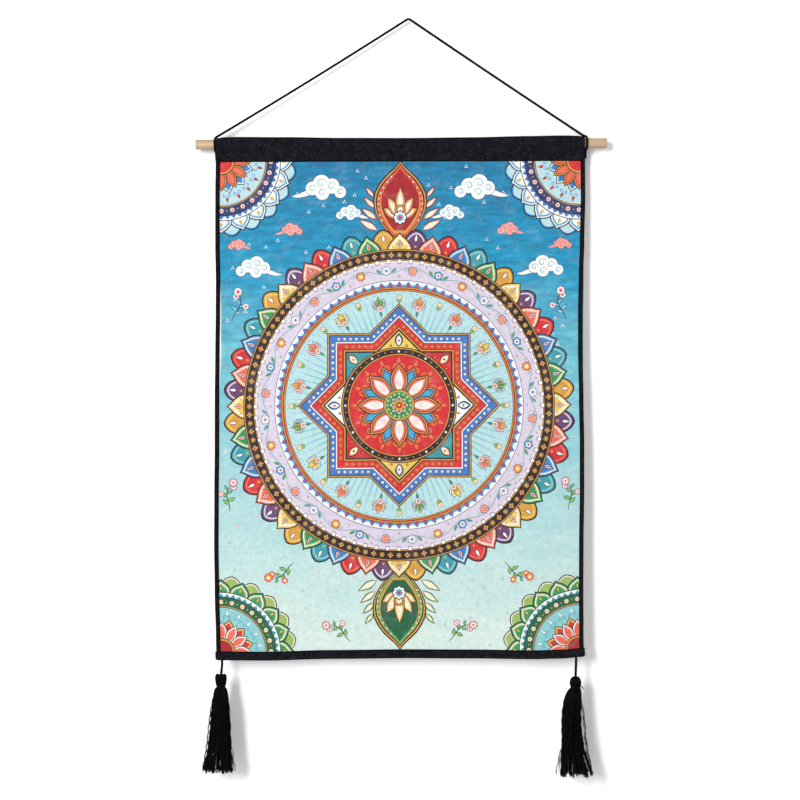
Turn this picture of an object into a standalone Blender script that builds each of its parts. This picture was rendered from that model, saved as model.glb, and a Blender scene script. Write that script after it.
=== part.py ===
"""A printed cloth wall hanging on a wooden rod, hung by a cord, with a tassel at each lower corner.

Metres, +Z up. The origin is the point that the hanging cord rests on. The front faces -Y.
"""

import math
import random

import bmesh
import bpy
from mathutils import Vector

MM = 0.001

# Rod: its axis is almost level and passes this far under the hanging point.
ROD_LENGTH = 500 * MM
ROD_RADIUS = 6 * MM
ROD_CENTRE_X = -8.2 * MM
ROD_DROP = 153.1 * MM
ROD_RISE = 0.0039
ROD_CHAMFER = 0.8 * MM
ROD_SIDES = 28
SHARP_ANGLE = math.radians(40)

# Cloth: the layers, the room between them, and how deep each strip covers the picture.
LAYER = 1.0 * MM
CLEARANCE = 0.3 * MM
CLOTH_WIDTH = 450 * MM
CLOTH_DROP = 626 * MM
PICTURE_TOP = 13.5 * MM
HEADING_SEAM_LEFT = 21.4 * MM
HEADING_SEAM_RIGHT = 22.1 * MM
SLEEVE_JOIN = 12.5 * MM
SLEEVE_STEPS = 10
BINDING_WIDTH = 5.8 * MM
BAND_HEIGHT = 11.2 * MM
BAND_OVERHANG = 1.0 * MM
FOLD_STEPS = 4
OVER_BINDING = 6.6 * MM
PAST_BINDING = 9.6 * MM
CLOTH_COLUMNS = 16
CLOTH_ROWS = 22

# The cloth's side edges at each drop under the rod's axis: (drop, left edge, right edge).
SIDE_EDGES = (
    (7, -232.8, 214.7),
    (22, -233.9, 215.4),
    (62, -234.4, 215.7),
    (120, -234.5, 214.5),
    (164, -233.8, 213.0),
    (208, -234.0, 212.2),
    (251, -234.5, 212.2),
    (310, -235.1, 213.4),
    (368, -235.1, 214.4),
    (426, -235.6, 214.4),
    (485, -235.8, 213.6),
    (543, -235.0, 213.4),
    (601, -233.5, 213.6),
    (626, -232.9, 214.2),
)
# How far the bottom edge hangs past CLOTH_DROP: (share of the width, extra drop).
BOTTOM_EDGE = (
    (0.0, 0.4),
    (0.14, 1.5),
    (0.31, 0.1),
    (0.48, -0.5),
    (0.70, 0.1),
    (0.86, 1.1),
    (1.0, -1.6),
)
# How far the sleeve stands off the top of the rod: (share of the width, slack).
SLEEVE_SLACK = (
    (0.0, 0.0),
    (0.05, 1.4),
    (0.18, 1.0),
    (0.35, 0.3),
    (0.52, 0.0),
    (0.70, 0.2),
    (0.85, 1.2),
    (0.94, 1.7),
    (1.0, 0.0),
)
# Ripples of the hung cloth: (height, waves across, lean of the wave down the cloth, start in turns).
RIPPLES = (
    (1.1, 1.3, 0.5, 0.10),
    (0.7, 2.6, -0.8, 0.35),
    (0.4, 4.1, 0.4, 0.70),
)
RIPPLE_STARTS = 40 * MM
RIPPLE_FULL = 200 * MM

# Cord: a turn round the rod beyond each end of the heading, then straight to the hanging point.
CORD_RADIUS = 1.25 * MM
CORD_BEVEL_RESOLUTION = 2
CORD_SPACING = 9 * MM
CORD_FINE_SPACING = 2.4 * MM
CORD_LONG_RUN = 50 * MM
TURN_RADIUS = ROD_RADIUS + CLEARANCE + CORD_RADIUS
TURN_START = 32
TURN_END = 262
TURN_STEPS = 9
APEX_RADIUS = 4 * MM
APEX_STEPS = 4
# Over the rod's top the cord leaves the turn: back along the rod, forward of the axis, over the axis.
CORD_SHOULDER = (1.2, 1.9, 8.4)
CORD_CROSS_DEPTH = 0.4 * MM
# Each end: (side, x of the turn, x where the cord crosses the heading's end, its height over the axis).
CORD_ENDS = (
    (-1, -235.2, -232.4, 9.6),
    (1, 217.8, 213.2, 9.4),
)
# A knot behind the rod with its tail: (depth, height over the axis, radius).
KNOT_SECTIONS = (
    (8.9, 5.4, 0.8),
    (8.9, 4.6, 2.1),
    (9.0, 3.5, 2.5),
    (9.1, 2.6, 2.1),
    (9.3, 1.6, 2.5),
    (9.7, 0.5, 2.0),
    (10.4, -0.8, 1.3),
    (10.9, -3.6, 1.25),
    (10.8, -7.0, 1.25),
    (10.2, -10.5, 1.25),
    (9.4, -14.0, 1.25),
    (8.8, -17.2, 1.0),
)
KNOT_SIDES = 10
TAIL_LEAN = 1.6 * MM

# Tassels, from the top of the head down.
HANGER_RADIUS = 1.1 * MM
HANGER_BOW = 0.25
HEAD_DEPTH_SHARE = 0.92
HEAD_LOBE = 0.05
HEAD_LOBE_RISE = 0.7 * MM
STRANDS_ACROSS = 8
STRAND_SEED = 11
SKIRT_DEPTH_SHARE = 0.8
ROOT_FILL = 0.64
STRAND_FILL = 0.80
TIP_FILL = 0.62
TIP_SPREAD = 3.5 * MM
# Head profile: (drop, radius, share of the lobes' rise).
HEAD_PROFILE = (
    (1.6, 1.7, 0.0),
    (0.4, 2.6, 0.3),
    (0.0, 4.0, 1.0),
    (0.9, 5.4, 1.0),
    (2.8, 6.3, 0.4),
    (5.4, 6.5, 0.0),
    (9.0, 5.9, 0.0),
    (12.4, 5.6, 0.0),
    (14.2, 4.1, 0.0),
    (17.4, 4.1, 0.0),
    (18.2, 5.0, 0.0),
)
# Thread binding round the neck: (drop, radius), with a ridge for each turn of thread.
BINDING_PROFILE = (
    (14.5, 4.4),
    (14.5, 4.9),
    (14.9, 5.3),
    (15.4, 4.9),
    (15.8, 5.4),
    (16.3, 4.9),
    (16.7, 5.3),
    (17.1, 4.9),
    (17.1, 4.4),
)
BINDING_SIDES = 24
# Skirt of each tassel: (drop, left edge, right edge) from the head's own centre line.
LEFT_SKIRT = (
    (24, -8.6, 6.9),
    (46, -12.6, 9.7),
    (80, -16.4, 11.9),
    (117, -23.2, 12.6),
)
RIGHT_SKIRT = (
    (24, -12.4, 7.7),
    (46, -15.6, 8.3),
    (80, -18.4, 10.6),
    (117, -23.6, 22.0),
)
# Stray locks: (column, row, outward shift at each skirt level).
LEFT_STRAYS = (
    (7, 3, (0.0, 0.3, 0.8, 3.6)),
    (0, 4, (0.0, -1.2, -1.6, -0.6)),
)
RIGHT_STRAYS = (
    (7, 4, (0.2, 2.6, 4.2, 2.0)),
    (7, 2, (0.0, 1.2, 2.6, 2.8)),
    (0, 3, (0.0, -0.4, -0.8, -1.0)),
)
# Each tassel: (name, x and drop of the head's top, x at the band, skirt, stray locks).
TASSELS = (
    ("left", -227.4, 798.2, -226.0, LEFT_SKIRT, LEFT_STRAYS),
    ("right", 204.0, 801.0, 204.4, RIGHT_SKIRT, RIGHT_STRAYS),
)


def table(rows, at, column=1):
    """Reads a column of a table at a place between its rows, smoothly and without overshoot."""
    if at <= rows[0][0]:
        return rows[0][column]
    for low, high in zip(rows, rows[1:]):
        if at <= high[0]:
            share = (at - low[0]) / (high[0] - low[0])
            ease = share * share * (3 - 2 * share)
            return low[column] + (high[column] - low[column]) * ease
    return rows[-1][column]


def ramp(start, end, at):
    """Rises smoothly from 0 at start to 1 at end."""
    share = min(max((at - start) / (end - start), 0), 1)
    return share * share * (3 - 2 * share)


def rod_axis(x):
    """Height of the rod's axis at x."""
    return -ROD_DROP + ROD_RISE * x


def ripple(across, drop):
    """How far the cloth's mid-plane stands behind the rod's axis."""
    depth = 0
    for height, waves, lean, start in RIPPLES:
        turns = waves * across + lean * drop / CLOTH_DROP + start
        depth += height * MM * math.sin(math.tau * turns)
    return depth * ramp(RIPPLE_STARTS, RIPPLE_FULL, drop)


def hang(along, drop, off):
    """A point of the cloth: along from its left edge, drop under the rod's axis, off behind mid-plane."""
    across = along / CLOTH_WIDTH
    left = table(SIDE_EDGES, drop / MM, 1) * MM
    right = table(SIDE_EDGES, drop / MM, 2) * MM
    x = left + (right - left) * across
    stretch = 1 + table(BOTTOM_EDGE, across) * MM / CLOTH_DROP
    return Vector((x, ripple(across, drop) + off, rod_axis(x) - drop * stretch))


def material(name, colour, roughness, metallic=0.0):
    made = bpy.data.materials.new(name)
    made.use_nodes = True
    shader = made.node_tree.nodes["Principled BSDF"]
    shader.inputs["Base Color"].default_value = (*colour, 1)
    shader.inputs["Roughness"].default_value = roughness
    shader.inputs["Metallic"].default_value = metallic
    made.diffuse_color = (*colour, 1)
    return made


def add_mesh(name, points, faces, surface):
    """Adds a closed body with its faces turned outwards."""
    mesh = bpy.data.meshes.new(name)
    mesh.from_pydata([tuple(point) for point in points], [], faces)
    body = bmesh.new()
    body.from_mesh(mesh)
    bmesh.ops.recalc_face_normals(body, faces=body.faces)
    if body.calc_volume(signed=True) < 0:
        bmesh.ops.reverse_faces(body, faces=body.faces)
    body.to_mesh(mesh)
    body.free()
    mesh.shade_smooth()
    mesh.set_sharp_from_angle(angle=SHARP_ANGLE)
    mesh.materials.append(surface)
    bpy.context.collection.objects.link(bpy.data.objects.new(name, mesh))


def add_sheet(name, sections, surface):
    """Adds a sheet from sections, each a pair of equal rows of points: the outer and the inner face."""
    count = len(sections[0][0])
    points = [point for outer, inner in sections for point in (*outer, *inner)]
    faces = []
    for row in range(len(sections) - 1):
        near, far = row * 2 * count, (row + 1) * 2 * count
        for i in range(count - 1):
            faces.append((near + i, near + i + 1, far + i + 1, far + i))
            j = count + i
            faces.append((near + j, far + j, far + j + 1, near + j + 1))
        for i in (0, count - 1):
            faces.append((near + i, far + i, far + count + i, near + count + i))
    for start in (0, (len(sections) - 1) * 2 * count):
        for i in range(count - 1):
            faces.append((start + i, start + i + 1, start + count + i + 1, start + count + i))
    add_mesh(name, points, faces, surface)


def add_cord(name, points, radius, surface):
    """Adds a round cord with filled ends along the points."""
    curve = bpy.data.curves.new(name, "CURVE")
    curve.dimensions = "3D"
    curve.bevel_depth = radius
    curve.bevel_resolution = CORD_BEVEL_RESOLUTION
    curve.use_fill_caps = True
    spline = curve.splines.new("POLY")
    spline.points.add(len(points) - 1)
    for place, point in zip(spline.points, points):
        place.co = (*point, 1)
    curve.materials.append(surface)
    bpy.context.collection.objects.link(bpy.data.objects.new(name, curve))


def smooth_route(points, spacing):
    """Reads points from a smooth curve through a cord's route, closer together where spacing says."""
    ends = [points[0] * 2 - points[1], *points, points[-1] * 2 - points[-2]]
    route = []
    for before, start, end, after in zip(ends, ends[1:], ends[2:], ends[3:]):
        steps = max(1, round((end - start).length / spacing(start, end)))
        pull = (end - start).length
        leave = (end - before) * (pull / (end - before).length)
        arrive = (after - start) * (pull / (after - start).length)
        for step in range(steps):
            t = step / steps
            a = (1 + 2 * t) * (1 - t) ** 2
            b = t * (1 - t) ** 2
            c = t * t * (3 - 2 * t)
            d = t * t * (t - 1)
            route.append(start * a + leave * b + end * c + arrive * d)
    return route + [points[-1]]


def fold(reach, half_gap):
    """A strip folded round an edge, as (distance in from the fold, offset) pairs of its two faces."""
    centre = half_gap + LAYER
    faces = []
    for radius in (half_gap + LAYER, half_gap):
        row = [(reach, -radius)]
        for step in range(FOLD_STEPS + 1):
            angle = math.pi * (step / FOLD_STEPS - 0.5)
            row.append((centre - radius * math.cos(angle), radius * math.sin(angle)))
        row.append((reach, radius))
        faces.append(row)
    return faces


def sleeve(seam, half_gap, slack):
    """The heading's section round the rod, as (drop, offset) pairs of its outer and inner face."""
    faces = []
    for extra in (LAYER, 0):
        flap = half_gap + extra
        radius = ROD_RADIUS + CLEARANCE + extra
        reach = math.hypot(SLEEVE_JOIN, flap)
        last = math.pi - math.atan2(flap, SLEEVE_JOIN) - math.acos(radius / reach)
        row = [(seam, -flap), (SLEEVE_JOIN, -flap)]
        for step in range(SLEEVE_STEPS + 1):
            angle = last * (2 * step / SLEEVE_STEPS - 1)
            lift = slack * max(math.cos(angle), 0)
            row.append((-radius * math.cos(angle) - lift, radius * math.sin(angle)))
        row += [(SLEEVE_JOIN, flap), (seam, flap)]
        faces.append(row)
    return faces


def half_gap_at(along):
    """Half the room inside the heading and the band: the picture alone, or the bindings near the ends."""
    from_end = min(along, CLOTH_WIDTH - along)
    picture = LAYER / 2 + CLEARANCE
    bound = picture + LAYER + CLEARANCE
    return bound + (picture - bound) * ramp(OVER_BINDING, PAST_BINDING, from_end)


def add_rod(surface):
    body = bmesh.new()
    bmesh.ops.create_cone(
        body,
        cap_ends=True,
        segments=ROD_SIDES,
        radius1=ROD_RADIUS,
        radius2=ROD_RADIUS,
        depth=ROD_LENGTH,
    )
    rims = [edge for edge in body.edges if abs(edge.verts[0].co.z - edge.verts[1].co.z) < MM]
    bmesh.ops.bevel(body, geom=rims, offset=ROD_CHAMFER, segments=2, profile=0.5, affect="EDGES")
    mesh = bpy.data.meshes.new("rod")
    body.to_mesh(mesh)
    body.free()
    mesh.shade_smooth()
    mesh.set_sharp_from_angle(angle=SHARP_ANGLE)
    mesh.materials.append(surface)
    rod = bpy.data.objects.new("rod", mesh)
    rod.rotation_euler = (0, math.pi / 2 - math.atan(ROD_RISE), 0)
    rod.location = (ROD_CENTRE_X, 0, rod_axis(ROD_CENTRE_X))
    bpy.context.collection.objects.link(rod)


def columns():
    """Distances across the cloth, closer together where the heading and the band pass over the bindings."""
    room = CLOTH_WIDTH - 2 * PAST_BINDING
    middle = [PAST_BINDING + room * i / CLOTH_COLUMNS for i in range(CLOTH_COLUMNS + 1)]
    return [OVER_BINDING, *middle, CLOTH_WIDTH - OVER_BINDING]


def rows():
    """Drops down the cloth, from the picture's top edge to its bottom edge inside the band."""
    first = HEADING_SEAM_RIGHT
    room = CLOTH_DROP - BAND_HEIGHT - first
    between = [first + room * i / CLOTH_ROWS for i in range(CLOTH_ROWS + 1)]
    inside_band = CLOTH_DROP - 2 * LAYER - CLEARANCE
    return [PICTURE_TOP, *between, inside_band]


def add_picture(surface):
    inset = LAYER + LAYER / 2 + CLEARANCE
    across = [inset, *columns(), CLOTH_WIDTH - inset]
    sections = []
    for drop in rows():
        faces = [[hang(along, drop, off) for along in across] for off in (-LAYER / 2, LAYER / 2)]
        sections.append(faces)
    add_sheet("picture_cloth", sections, surface)


def add_heading(surface):
    sections = []
    for along in [0, *columns(), CLOTH_WIDTH]:
        across = along / CLOTH_WIDTH
        seam = HEADING_SEAM_LEFT + (HEADING_SEAM_RIGHT - HEADING_SEAM_LEFT) * across
        slack = table(SLEEVE_SLACK, across) * MM
        faces = sleeve(seam, half_gap_at(along), slack)
        sections.append([[hang(along, drop, off) for drop, off in face] for face in faces])
    add_sheet("heading", sections, surface)


def add_binding(name, side, surface):
    """One side binding, folded round the picture's edge, from inside the heading to inside the band."""
    edge = 0 if side < 0 else CLOTH_WIDTH
    faces = fold(BINDING_WIDTH, LAYER / 2 + CLEARANCE)
    sections = []
    for drop in rows():
        section = [[hang(edge - side * inward, drop, off) for inward, off in face] for face in faces]
        sections.append(section)
    add_sheet(name, sections, surface)


def add_bottom_band(surface):
    sections = []
    for along in [-BAND_OVERHANG, *columns(), CLOTH_WIDTH + BAND_OVERHANG]:
        faces = fold(BAND_HEIGHT, half_gap_at(along))
        sections.append([[hang(along, CLOTH_DROP - up, off) for up, off in face] for face in faces])
    add_sheet("bottom_band", sections, surface)


def cord_turn(side, turn_x, cross_x, cross_height):
    """The cord's route at one end, from behind the rod, round its front and up past the heading's end."""
    points = []
    x = turn_x * MM
    for step in range(TURN_STEPS + 1):
        angle = math.radians(TURN_END + (TURN_START - TURN_END) * step / TURN_STEPS)
        lift = TURN_RADIUS * math.cos(angle)
        points.append(Vector((x, -TURN_RADIUS * math.sin(angle), rod_axis(x) + lift)))
    back, forward, height = (size * MM for size in CORD_SHOULDER)
    points.append(Vector((x - side * back, -forward, rod_axis(x) + height)))
    cross = cross_x * MM
    points.append(Vector((cross, -CORD_CROSS_DEPTH, rod_axis(cross) + cross_height * MM)))
    return points


def cord_route():
    """The whole route: the left turn, the straight run up, the bend at the hanging point, and back down."""
    turns = [cord_turn(*row) for row in CORD_ENDS]
    apex = Vector((0, 0, CORD_RADIUS - APEX_RADIUS))
    slopes = [math.atan2(apex.z + APEX_RADIUS - turn[-1].z, abs(turn[-1].x)) for turn in turns]
    bend = []
    for step in range(APEX_STEPS + 1):
        angle = -slopes[0] + sum(slopes) * step / APEX_STEPS
        bend.append(apex + APEX_RADIUS * Vector((math.sin(angle), 0, math.cos(angle))))
    left_run = (turns[0][-1] + bend[0]) / 2
    right_run = (turns[1][-1] + bend[-1]) / 2
    return turns[0] + [left_run, *bend, right_run] + turns[1][::-1]


def cord_spacing(start, end):
    return CORD_SPACING if (end - start).length > CORD_LONG_RUN else CORD_FINE_SPACING


def add_knot(name, side, turn_x, surface):
    """A ridged knot behind the rod, with the cord's tail hanging from it."""
    points = []
    lowest = KNOT_SECTIONS[-1][1]
    for depth, height, radius in KNOT_SECTIONS:
        x = turn_x * MM - side * TAIL_LEAN * ramp(0, lowest, height)
        centre = Vector((x, depth * MM, rod_axis(x) + height * MM))
        for i in range(KNOT_SIDES):
            angle = math.tau * i / KNOT_SIDES
            points.append(centre + radius * MM * Vector((math.cos(angle), math.sin(angle), 0)))
    add_rings(name, points, KNOT_SIDES, surface)


def add_rings(name, points, sides, surface):
    """Adds a closed body through rings of points, its two ends filled."""
    count = len(points) // sides
    faces = [tuple(range(sides)), tuple(range((count - 1) * sides, count * sides))]
    for ring in range(count - 1):
        for i in range(sides):
            j = (i + 1) % sides
            low = ring * sides
            faces.append((low + i, low + j, low + sides + j, low + sides + i))
    add_mesh(name, points, faces, surface)


def disc_point(u, v):
    """A point of a square grid, moved to its place in a round disc."""
    return Vector((u * math.sqrt(1 - v * v / 2), v * math.sqrt(1 - u * u / 2)))


def rim_of_grid(size):
    """The grid places round the rim, in order."""
    low = [(i, 0) for i in range(size)]
    right = [(size, i) for i in range(size)]
    high = [(size - i, size) for i in range(size)]
    left = [(0, size - i) for i in range(size)]
    return low + right + high + left


def grid_point(place, size):
    return disc_point(2 * place[0] / size - 1, 2 * place[1] / size - 1)


def add_tassel(name, x, drop, skirt, strays, surface):
    """A tassel: a lobed head whose underside carries the strands, each of four sides and standing apart."""
    top = Vector((x * MM, 0, -drop * MM))
    rim = [grid_point(place, STRANDS_ACROSS) for place in rim_of_grid(STRANDS_ACROSS)]
    sides = len(rim)
    points = [top - Vector((0, 0, HEAD_PROFILE[0][0] * MM))]
    for below, radius, share in HEAD_PROFILE:
        for spot in rim:
            lobe = spot.x * spot.x - spot.y * spot.y
            size = radius * MM * (1 + HEAD_LOBE * lobe)
            rise = HEAD_LOBE_RISE * lobe * share
            place = Vector((size * spot.x, size * spot.y * HEAD_DEPTH_SHARE, rise - below * MM))
            points.append(top + place)
    faces = [(0, 1 + i, 1 + (i + 1) % sides) for i in range(sides)]
    for ring in range(len(HEAD_PROFILE) - 1):
        low = 1 + ring * sides
        for i in range(sides):
            j = (i + 1) % sides
            faces.append((low + i, low + j, low + sides + j, low + sides + i))
    add_strands(points, faces, top, skirt, strays, len(points) - sides)
    add_mesh(name, points, faces, surface)


def add_strands(points, faces, top, skirt, strays, rim_start):
    """Closes the head with a grid of roots and draws a strand down from each cell of the grid."""
    size = STRANDS_ACROSS
    shake = random.Random(STRAND_SEED + round(abs(top.x) / MM))
    root_drop, root_radius, _ = HEAD_PROFILE[-1]
    index = {place: rim_start + i for i, place in enumerate(rim_of_grid(size))}
    for i in range(1, size):
        for j in range(1, size):
            spot = grid_point((i, j), size) * root_radius * MM
            index[i, j] = len(points)
            points.append(top + Vector((spot.x, spot.y * HEAD_DEPTH_SHARE, -root_drop * MM)))
    shifts = {(column, row): shift for column, row, shift in strays}
    for i in range(size):
        for j in range(size):
            cell = [(i, j), (i + 1, j), (i + 1, j + 1), (i, j + 1)]
            outer = [index[place] for place in cell]
            corners = [points[corner] for corner in outer]
            middle = sum(corners, Vector()) / 4
            inner = add_ring(points, [middle + (corner - middle) * ROOT_FILL for corner in corners])
            join(faces, outer, inner)
            stray = shifts.get((i, j), (0,) * len(skirt))
            longer = shake.uniform(-1, 1) * TIP_SPREAD
            for level, (below, left, right) in enumerate(skirt):
                last = level == len(skirt) - 1
                centre = Vector(((left + right) / 2, 0)) * MM
                half = (right - left) / 2 * MM
                spots = [grid_point(place, size) * half + centre for place in cell]
                fill = TIP_FILL if last else STRAND_FILL
                depth = -below * MM - (longer if last else 0)
                ring = [Vector((spot.x, spot.y * SKIRT_DEPTH_SHARE, depth)) for spot in spots]
                middle = sum(ring, Vector()) / 4
                room = (1 - fill) * half / size
                sway = Vector((shake.uniform(-1, 1), shake.uniform(-1, 1), 0)) * room * 0.5
                sway.x += stray[level] * MM
                ring = [top + middle + sway + (spot - middle) * fill for spot in ring]
                following = add_ring(points, ring)
                join(faces, inner, following)
                inner = following
            faces.append(tuple(inner))


def add_ring(points, ring):
    start = len(points)
    points.extend(ring)
    return list(range(start, start + len(ring)))


def join(faces, upper, lower):
    for i in range(len(upper)):
        j = (i + 1) % len(upper)
        faces.append((upper[i], upper[j], lower[j], lower[i]))


def add_thread_binding(name, x, drop, surface):
    """The turns of thread round a tassel's neck, as one ridged ring."""
    points = []
    for below, radius in BINDING_PROFILE:
        for i in range(BINDING_SIDES):
            angle = math.tau * i / BINDING_SIDES
            spot = Vector((math.cos(angle), math.sin(angle), 0)) * radius * MM
            points.append(Vector((x * MM, 0, -(drop + below) * MM)) + spot)
    faces = []
    count = len(BINDING_PROFILE)
    for ring in range(count):
        low, high = ring * BINDING_SIDES, (ring + 1) % count * BINDING_SIDES
        for i in range(BINDING_SIDES):
            j = (i + 1) % BINDING_SIDES
            faces.append((low + i, low + j, high + j, high + i))
    add_mesh(name, points, faces, surface)


def add_hanger(name, x, drop, band_x, surface):
    """The short cord between the bottom band and the dimple in a tassel's head."""
    left, right = SIDE_EDGES[-1][1], SIDE_EDGES[-1][2]
    along = (band_x - left) / (right - left) * CLOTH_WIDTH
    start = hang(along, CLOTH_DROP, 0) - Vector((0, 0, CLEARANCE))
    end = Vector((x * MM, 0, -(drop + HEAD_PROFILE[0][0]) * MM + CLEARANCE))
    bow = Vector((HANGER_BOW * (x - band_x) * MM, 0, 0))
    route = [start, (start * 2 + end) / 3 - bow, (start + end * 2) / 3 - bow / 2, end]
    add_cord(name, smooth_route(route, lambda *_: 3 * HANGER_RADIUS), HANGER_RADIUS, surface)


def clear_scene():
    for thing in list(bpy.data.objects):
        bpy.data.objects.remove(thing)


def main():
    clear_scene()
    wood = material("pale wood", (0.69, 0.49, 0.31), 0.6)
    black_cloth = material("black linen cloth", (0.009, 0.009, 0.011), 0.9)
    canvas = material("printed canvas", (0.42, 0.66, 0.70), 0.75)
    cord = material("black twisted cord", (0.006, 0.006, 0.007), 0.7)
    threads = material("black tassel thread", (0.005, 0.005, 0.006), 0.6)
    add_rod(wood)
    add_heading(black_cloth)
    add_picture(canvas)
    add_binding("left_binding", -1, black_cloth)
    add_binding("right_binding", 1, black_cloth)
    add_bottom_band(black_cloth)
    add_cord("hanging_cord", smooth_route(cord_route(), cord_spacing), CORD_RADIUS, cord)
    for side, turn_x, _, _ in CORD_ENDS:
        add_knot("cord_knot_left" if side < 0 else "cord_knot_right", side, turn_x, cord)
    for name, x, drop, band_x, skirt, strays in TASSELS:
        add_hanger(f"tassel_hanger_{name}", x, drop, band_x, cord)
        add_tassel(f"tassel_{name}", x, drop, skirt, strays, threads)
        add_thread_binding(f"tassel_binding_{name}", x, drop, threads)


main()
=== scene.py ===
import random
from math import acos, atan, atan2, ceil, copysign, cos, dist, hypot, pi, radians, sin, sqrt, tau

import bmesh
import bpy
from bpy.props import FloatProperty, FloatVectorProperty, IntProperty, PointerProperty
from bpy.types import NodeSocket, Operator, Panel, PropertyGroup
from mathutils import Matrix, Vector, noise
from mathutils.bvhtree import BVHTree
from mathutils.geometry import delaunay_2d_cdt


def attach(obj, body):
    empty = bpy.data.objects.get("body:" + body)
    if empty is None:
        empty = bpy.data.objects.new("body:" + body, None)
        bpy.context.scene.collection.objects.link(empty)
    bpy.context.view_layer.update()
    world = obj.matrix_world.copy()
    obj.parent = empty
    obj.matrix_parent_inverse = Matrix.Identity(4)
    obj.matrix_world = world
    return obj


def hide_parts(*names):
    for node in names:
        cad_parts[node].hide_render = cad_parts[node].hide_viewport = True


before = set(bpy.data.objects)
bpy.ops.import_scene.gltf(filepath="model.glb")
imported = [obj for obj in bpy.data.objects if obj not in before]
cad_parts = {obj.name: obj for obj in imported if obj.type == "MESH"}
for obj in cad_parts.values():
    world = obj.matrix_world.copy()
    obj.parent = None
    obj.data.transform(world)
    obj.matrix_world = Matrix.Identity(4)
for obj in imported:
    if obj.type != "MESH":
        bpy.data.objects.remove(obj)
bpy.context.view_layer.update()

# Metres, +Z up. The origin is the point that the hanging cord rests on. The front faces -Y.

bl_info = {
    "name": "Cloth wall hanging",
    "version": (1, 0, 0),
    "blender": (4, 5, 0),
    "location": "View3D > Sidebar > Hanging",
    "description": "Builds a printed cloth wall hanging on its rod, piece by piece",
    "category": "Object",
}

MM = 0.001

# Rod: its axis is almost level and passes this far under the hanging point.
ROD_LENGTH = 500 * MM
ROD_RADIUS = 6 * MM
ROD_CENTRE_X = -8.2 * MM
ROD_DROP = 153.1 * MM
ROD_RISE = 0.0039
ROD_CHAMFER = 0.9 * MM

# Cloth: the solids' layers, the room between them, and how deep each strip covers the picture.
LAYER = 1.0 * MM
CLEARANCE = 0.3 * MM
CLOTH_WIDTH = 450 * MM
CLOTH_DROP = 626 * MM
PICTURE_TOP = 13.5 * MM
PICTURE_INSET = LAYER + LAYER / 2 + CLEARANCE
PICTURE_BOTTOM = CLOTH_DROP - 2 * LAYER - CLEARANCE
HEADING_SEAM_LEFT = 21.2 * MM
HEADING_SEAM_RIGHT = 21.5 * MM
SLEEVE_JOIN = 12.5 * MM
BINDING_WIDTH = 5.5 * MM
BAND_HEIGHT = 10.9 * MM
BAND_OVERHANG = 1.0 * MM
OVER_BINDING = 6.6 * MM
PAST_BINDING = 9.6 * MM

# The cloth's side edges at each drop under the rod's axis: (drop, left edge, right edge).
SIDE_EDGES = (
    (7, -232.8, 214.7), (22, -233.9, 215.4), (62, -234.4, 215.7), (120, -234.5, 214.5),
    (164, -233.8, 213.0), (208, -234.0, 212.2), (251, -234.5, 212.2), (310, -235.1, 213.4),
    (368, -235.1, 214.4), (426, -235.6, 214.4), (485, -235.8, 213.6), (543, -235.0, 213.4),
    (601, -233.5, 213.6), (626, -232.9, 214.2),
)
# How far the bottom edge hangs past CLOTH_DROP: (share of the width, extra drop).
BOTTOM_EDGE = ((0, 1.1), (0.14, 1.5), (0.31, 0.1), (0.48, -0.5), (0.7, 0.1), (0.86, 1.1), (0.94, 0.4), (1, -1.4))
# How far the sleeve stands off the top of the rod: (share of the width, slack).
SLEEVE_SLACK = (
    (0.0, 0.5), (0.02, 1.8), (0.05, 2.1), (0.18, 1.6), (0.35, 0.4), (0.52, 0.0), (0.70, 0.6), (0.85, 1.8),
    (0.94, 2.4), (0.98, 2.0), (1.0, 0.9),
)
# Ripples of the hung cloth: (height, waves across, lean of the wave down the cloth, start in turns).
RIPPLES = ((1.1, 1.3, 0.5, 0.10), (0.7, 2.6, -0.8, 0.35), (0.4, 4.1, 0.4, 0.70))
RIPPLE_STARTS = 40 * MM
RIPPLE_FULL = 200 * MM

# Cord: a turn round the rod beyond each end of the heading, then straight to the hanging point.
CORD_RADIUS = 1.25 * MM
CORD_SPACING = 9 * MM
CORD_FINE_SPACING = 2.4 * MM
CORD_LONG_RUN = 50 * MM
TURN_RADIUS = ROD_RADIUS + CLEARANCE + CORD_RADIUS
TURN_START = 32
TURN_END = 262
TURN_STEPS = 9
APEX_RADIUS = 4 * MM
APEX_STEPS = 4
RUN_SHARES = (0.08, 0.36, 0.64, 0.92)
LEG_SAGS = (1.3, 0.6)
# Over its plies, a twisted cord is this much wider than its mean width.
TWIST_SWELL = 1.26
APEX_SHIFT = 0.6 * MM
APEX_SAG = 2.6 * MM
# Over the rod's top the cord leaves the turn: back along the rod, forward of the axis, over the axis.
CORD_SHOULDER = (1.2, 1.9, 8.4)
CORD_CROSS_DEPTH = 0.4 * MM
# Each end: (side, x of the turn, x where the cord crosses the heading's end, its height over the axis).
CORD_ENDS = ((-1, -234.5, -232.2, 9.6), (1, 217.2, 213.2, 9.4))
# The knot behind the rod: its coil's depth, top, foot and radius, then the tail (depth, height).
KNOT_COIL = (9.0, 4.3, 0.4, 1.25)
KNOT_TURNS = 2.0
KNOT_STEPS = 24
TAIL = ((10.2, -1.4), (10.9, -4.2), (10.8, -7.4), (10.2, -10.8), (9.4, -14.2), (8.8, -17.2))
TAIL_LEAN = 0.6 * MM

# Tassels, from the top of the head down.
HANGER_BOW = 0.25
HEAD_DEPTH_SHARE = 0.92
HEAD_LOBE = 0.05
SKIRT_DEPTH_SHARE = 0.8
TIP_SPREAD = 3.5 * MM
# Two layers of threads lie over the head, as shares of its radius. Under them is a dark core.
HEAD_LAYERS = (1.0, 0.955)
CORE_SHARE = 0.86
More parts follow.
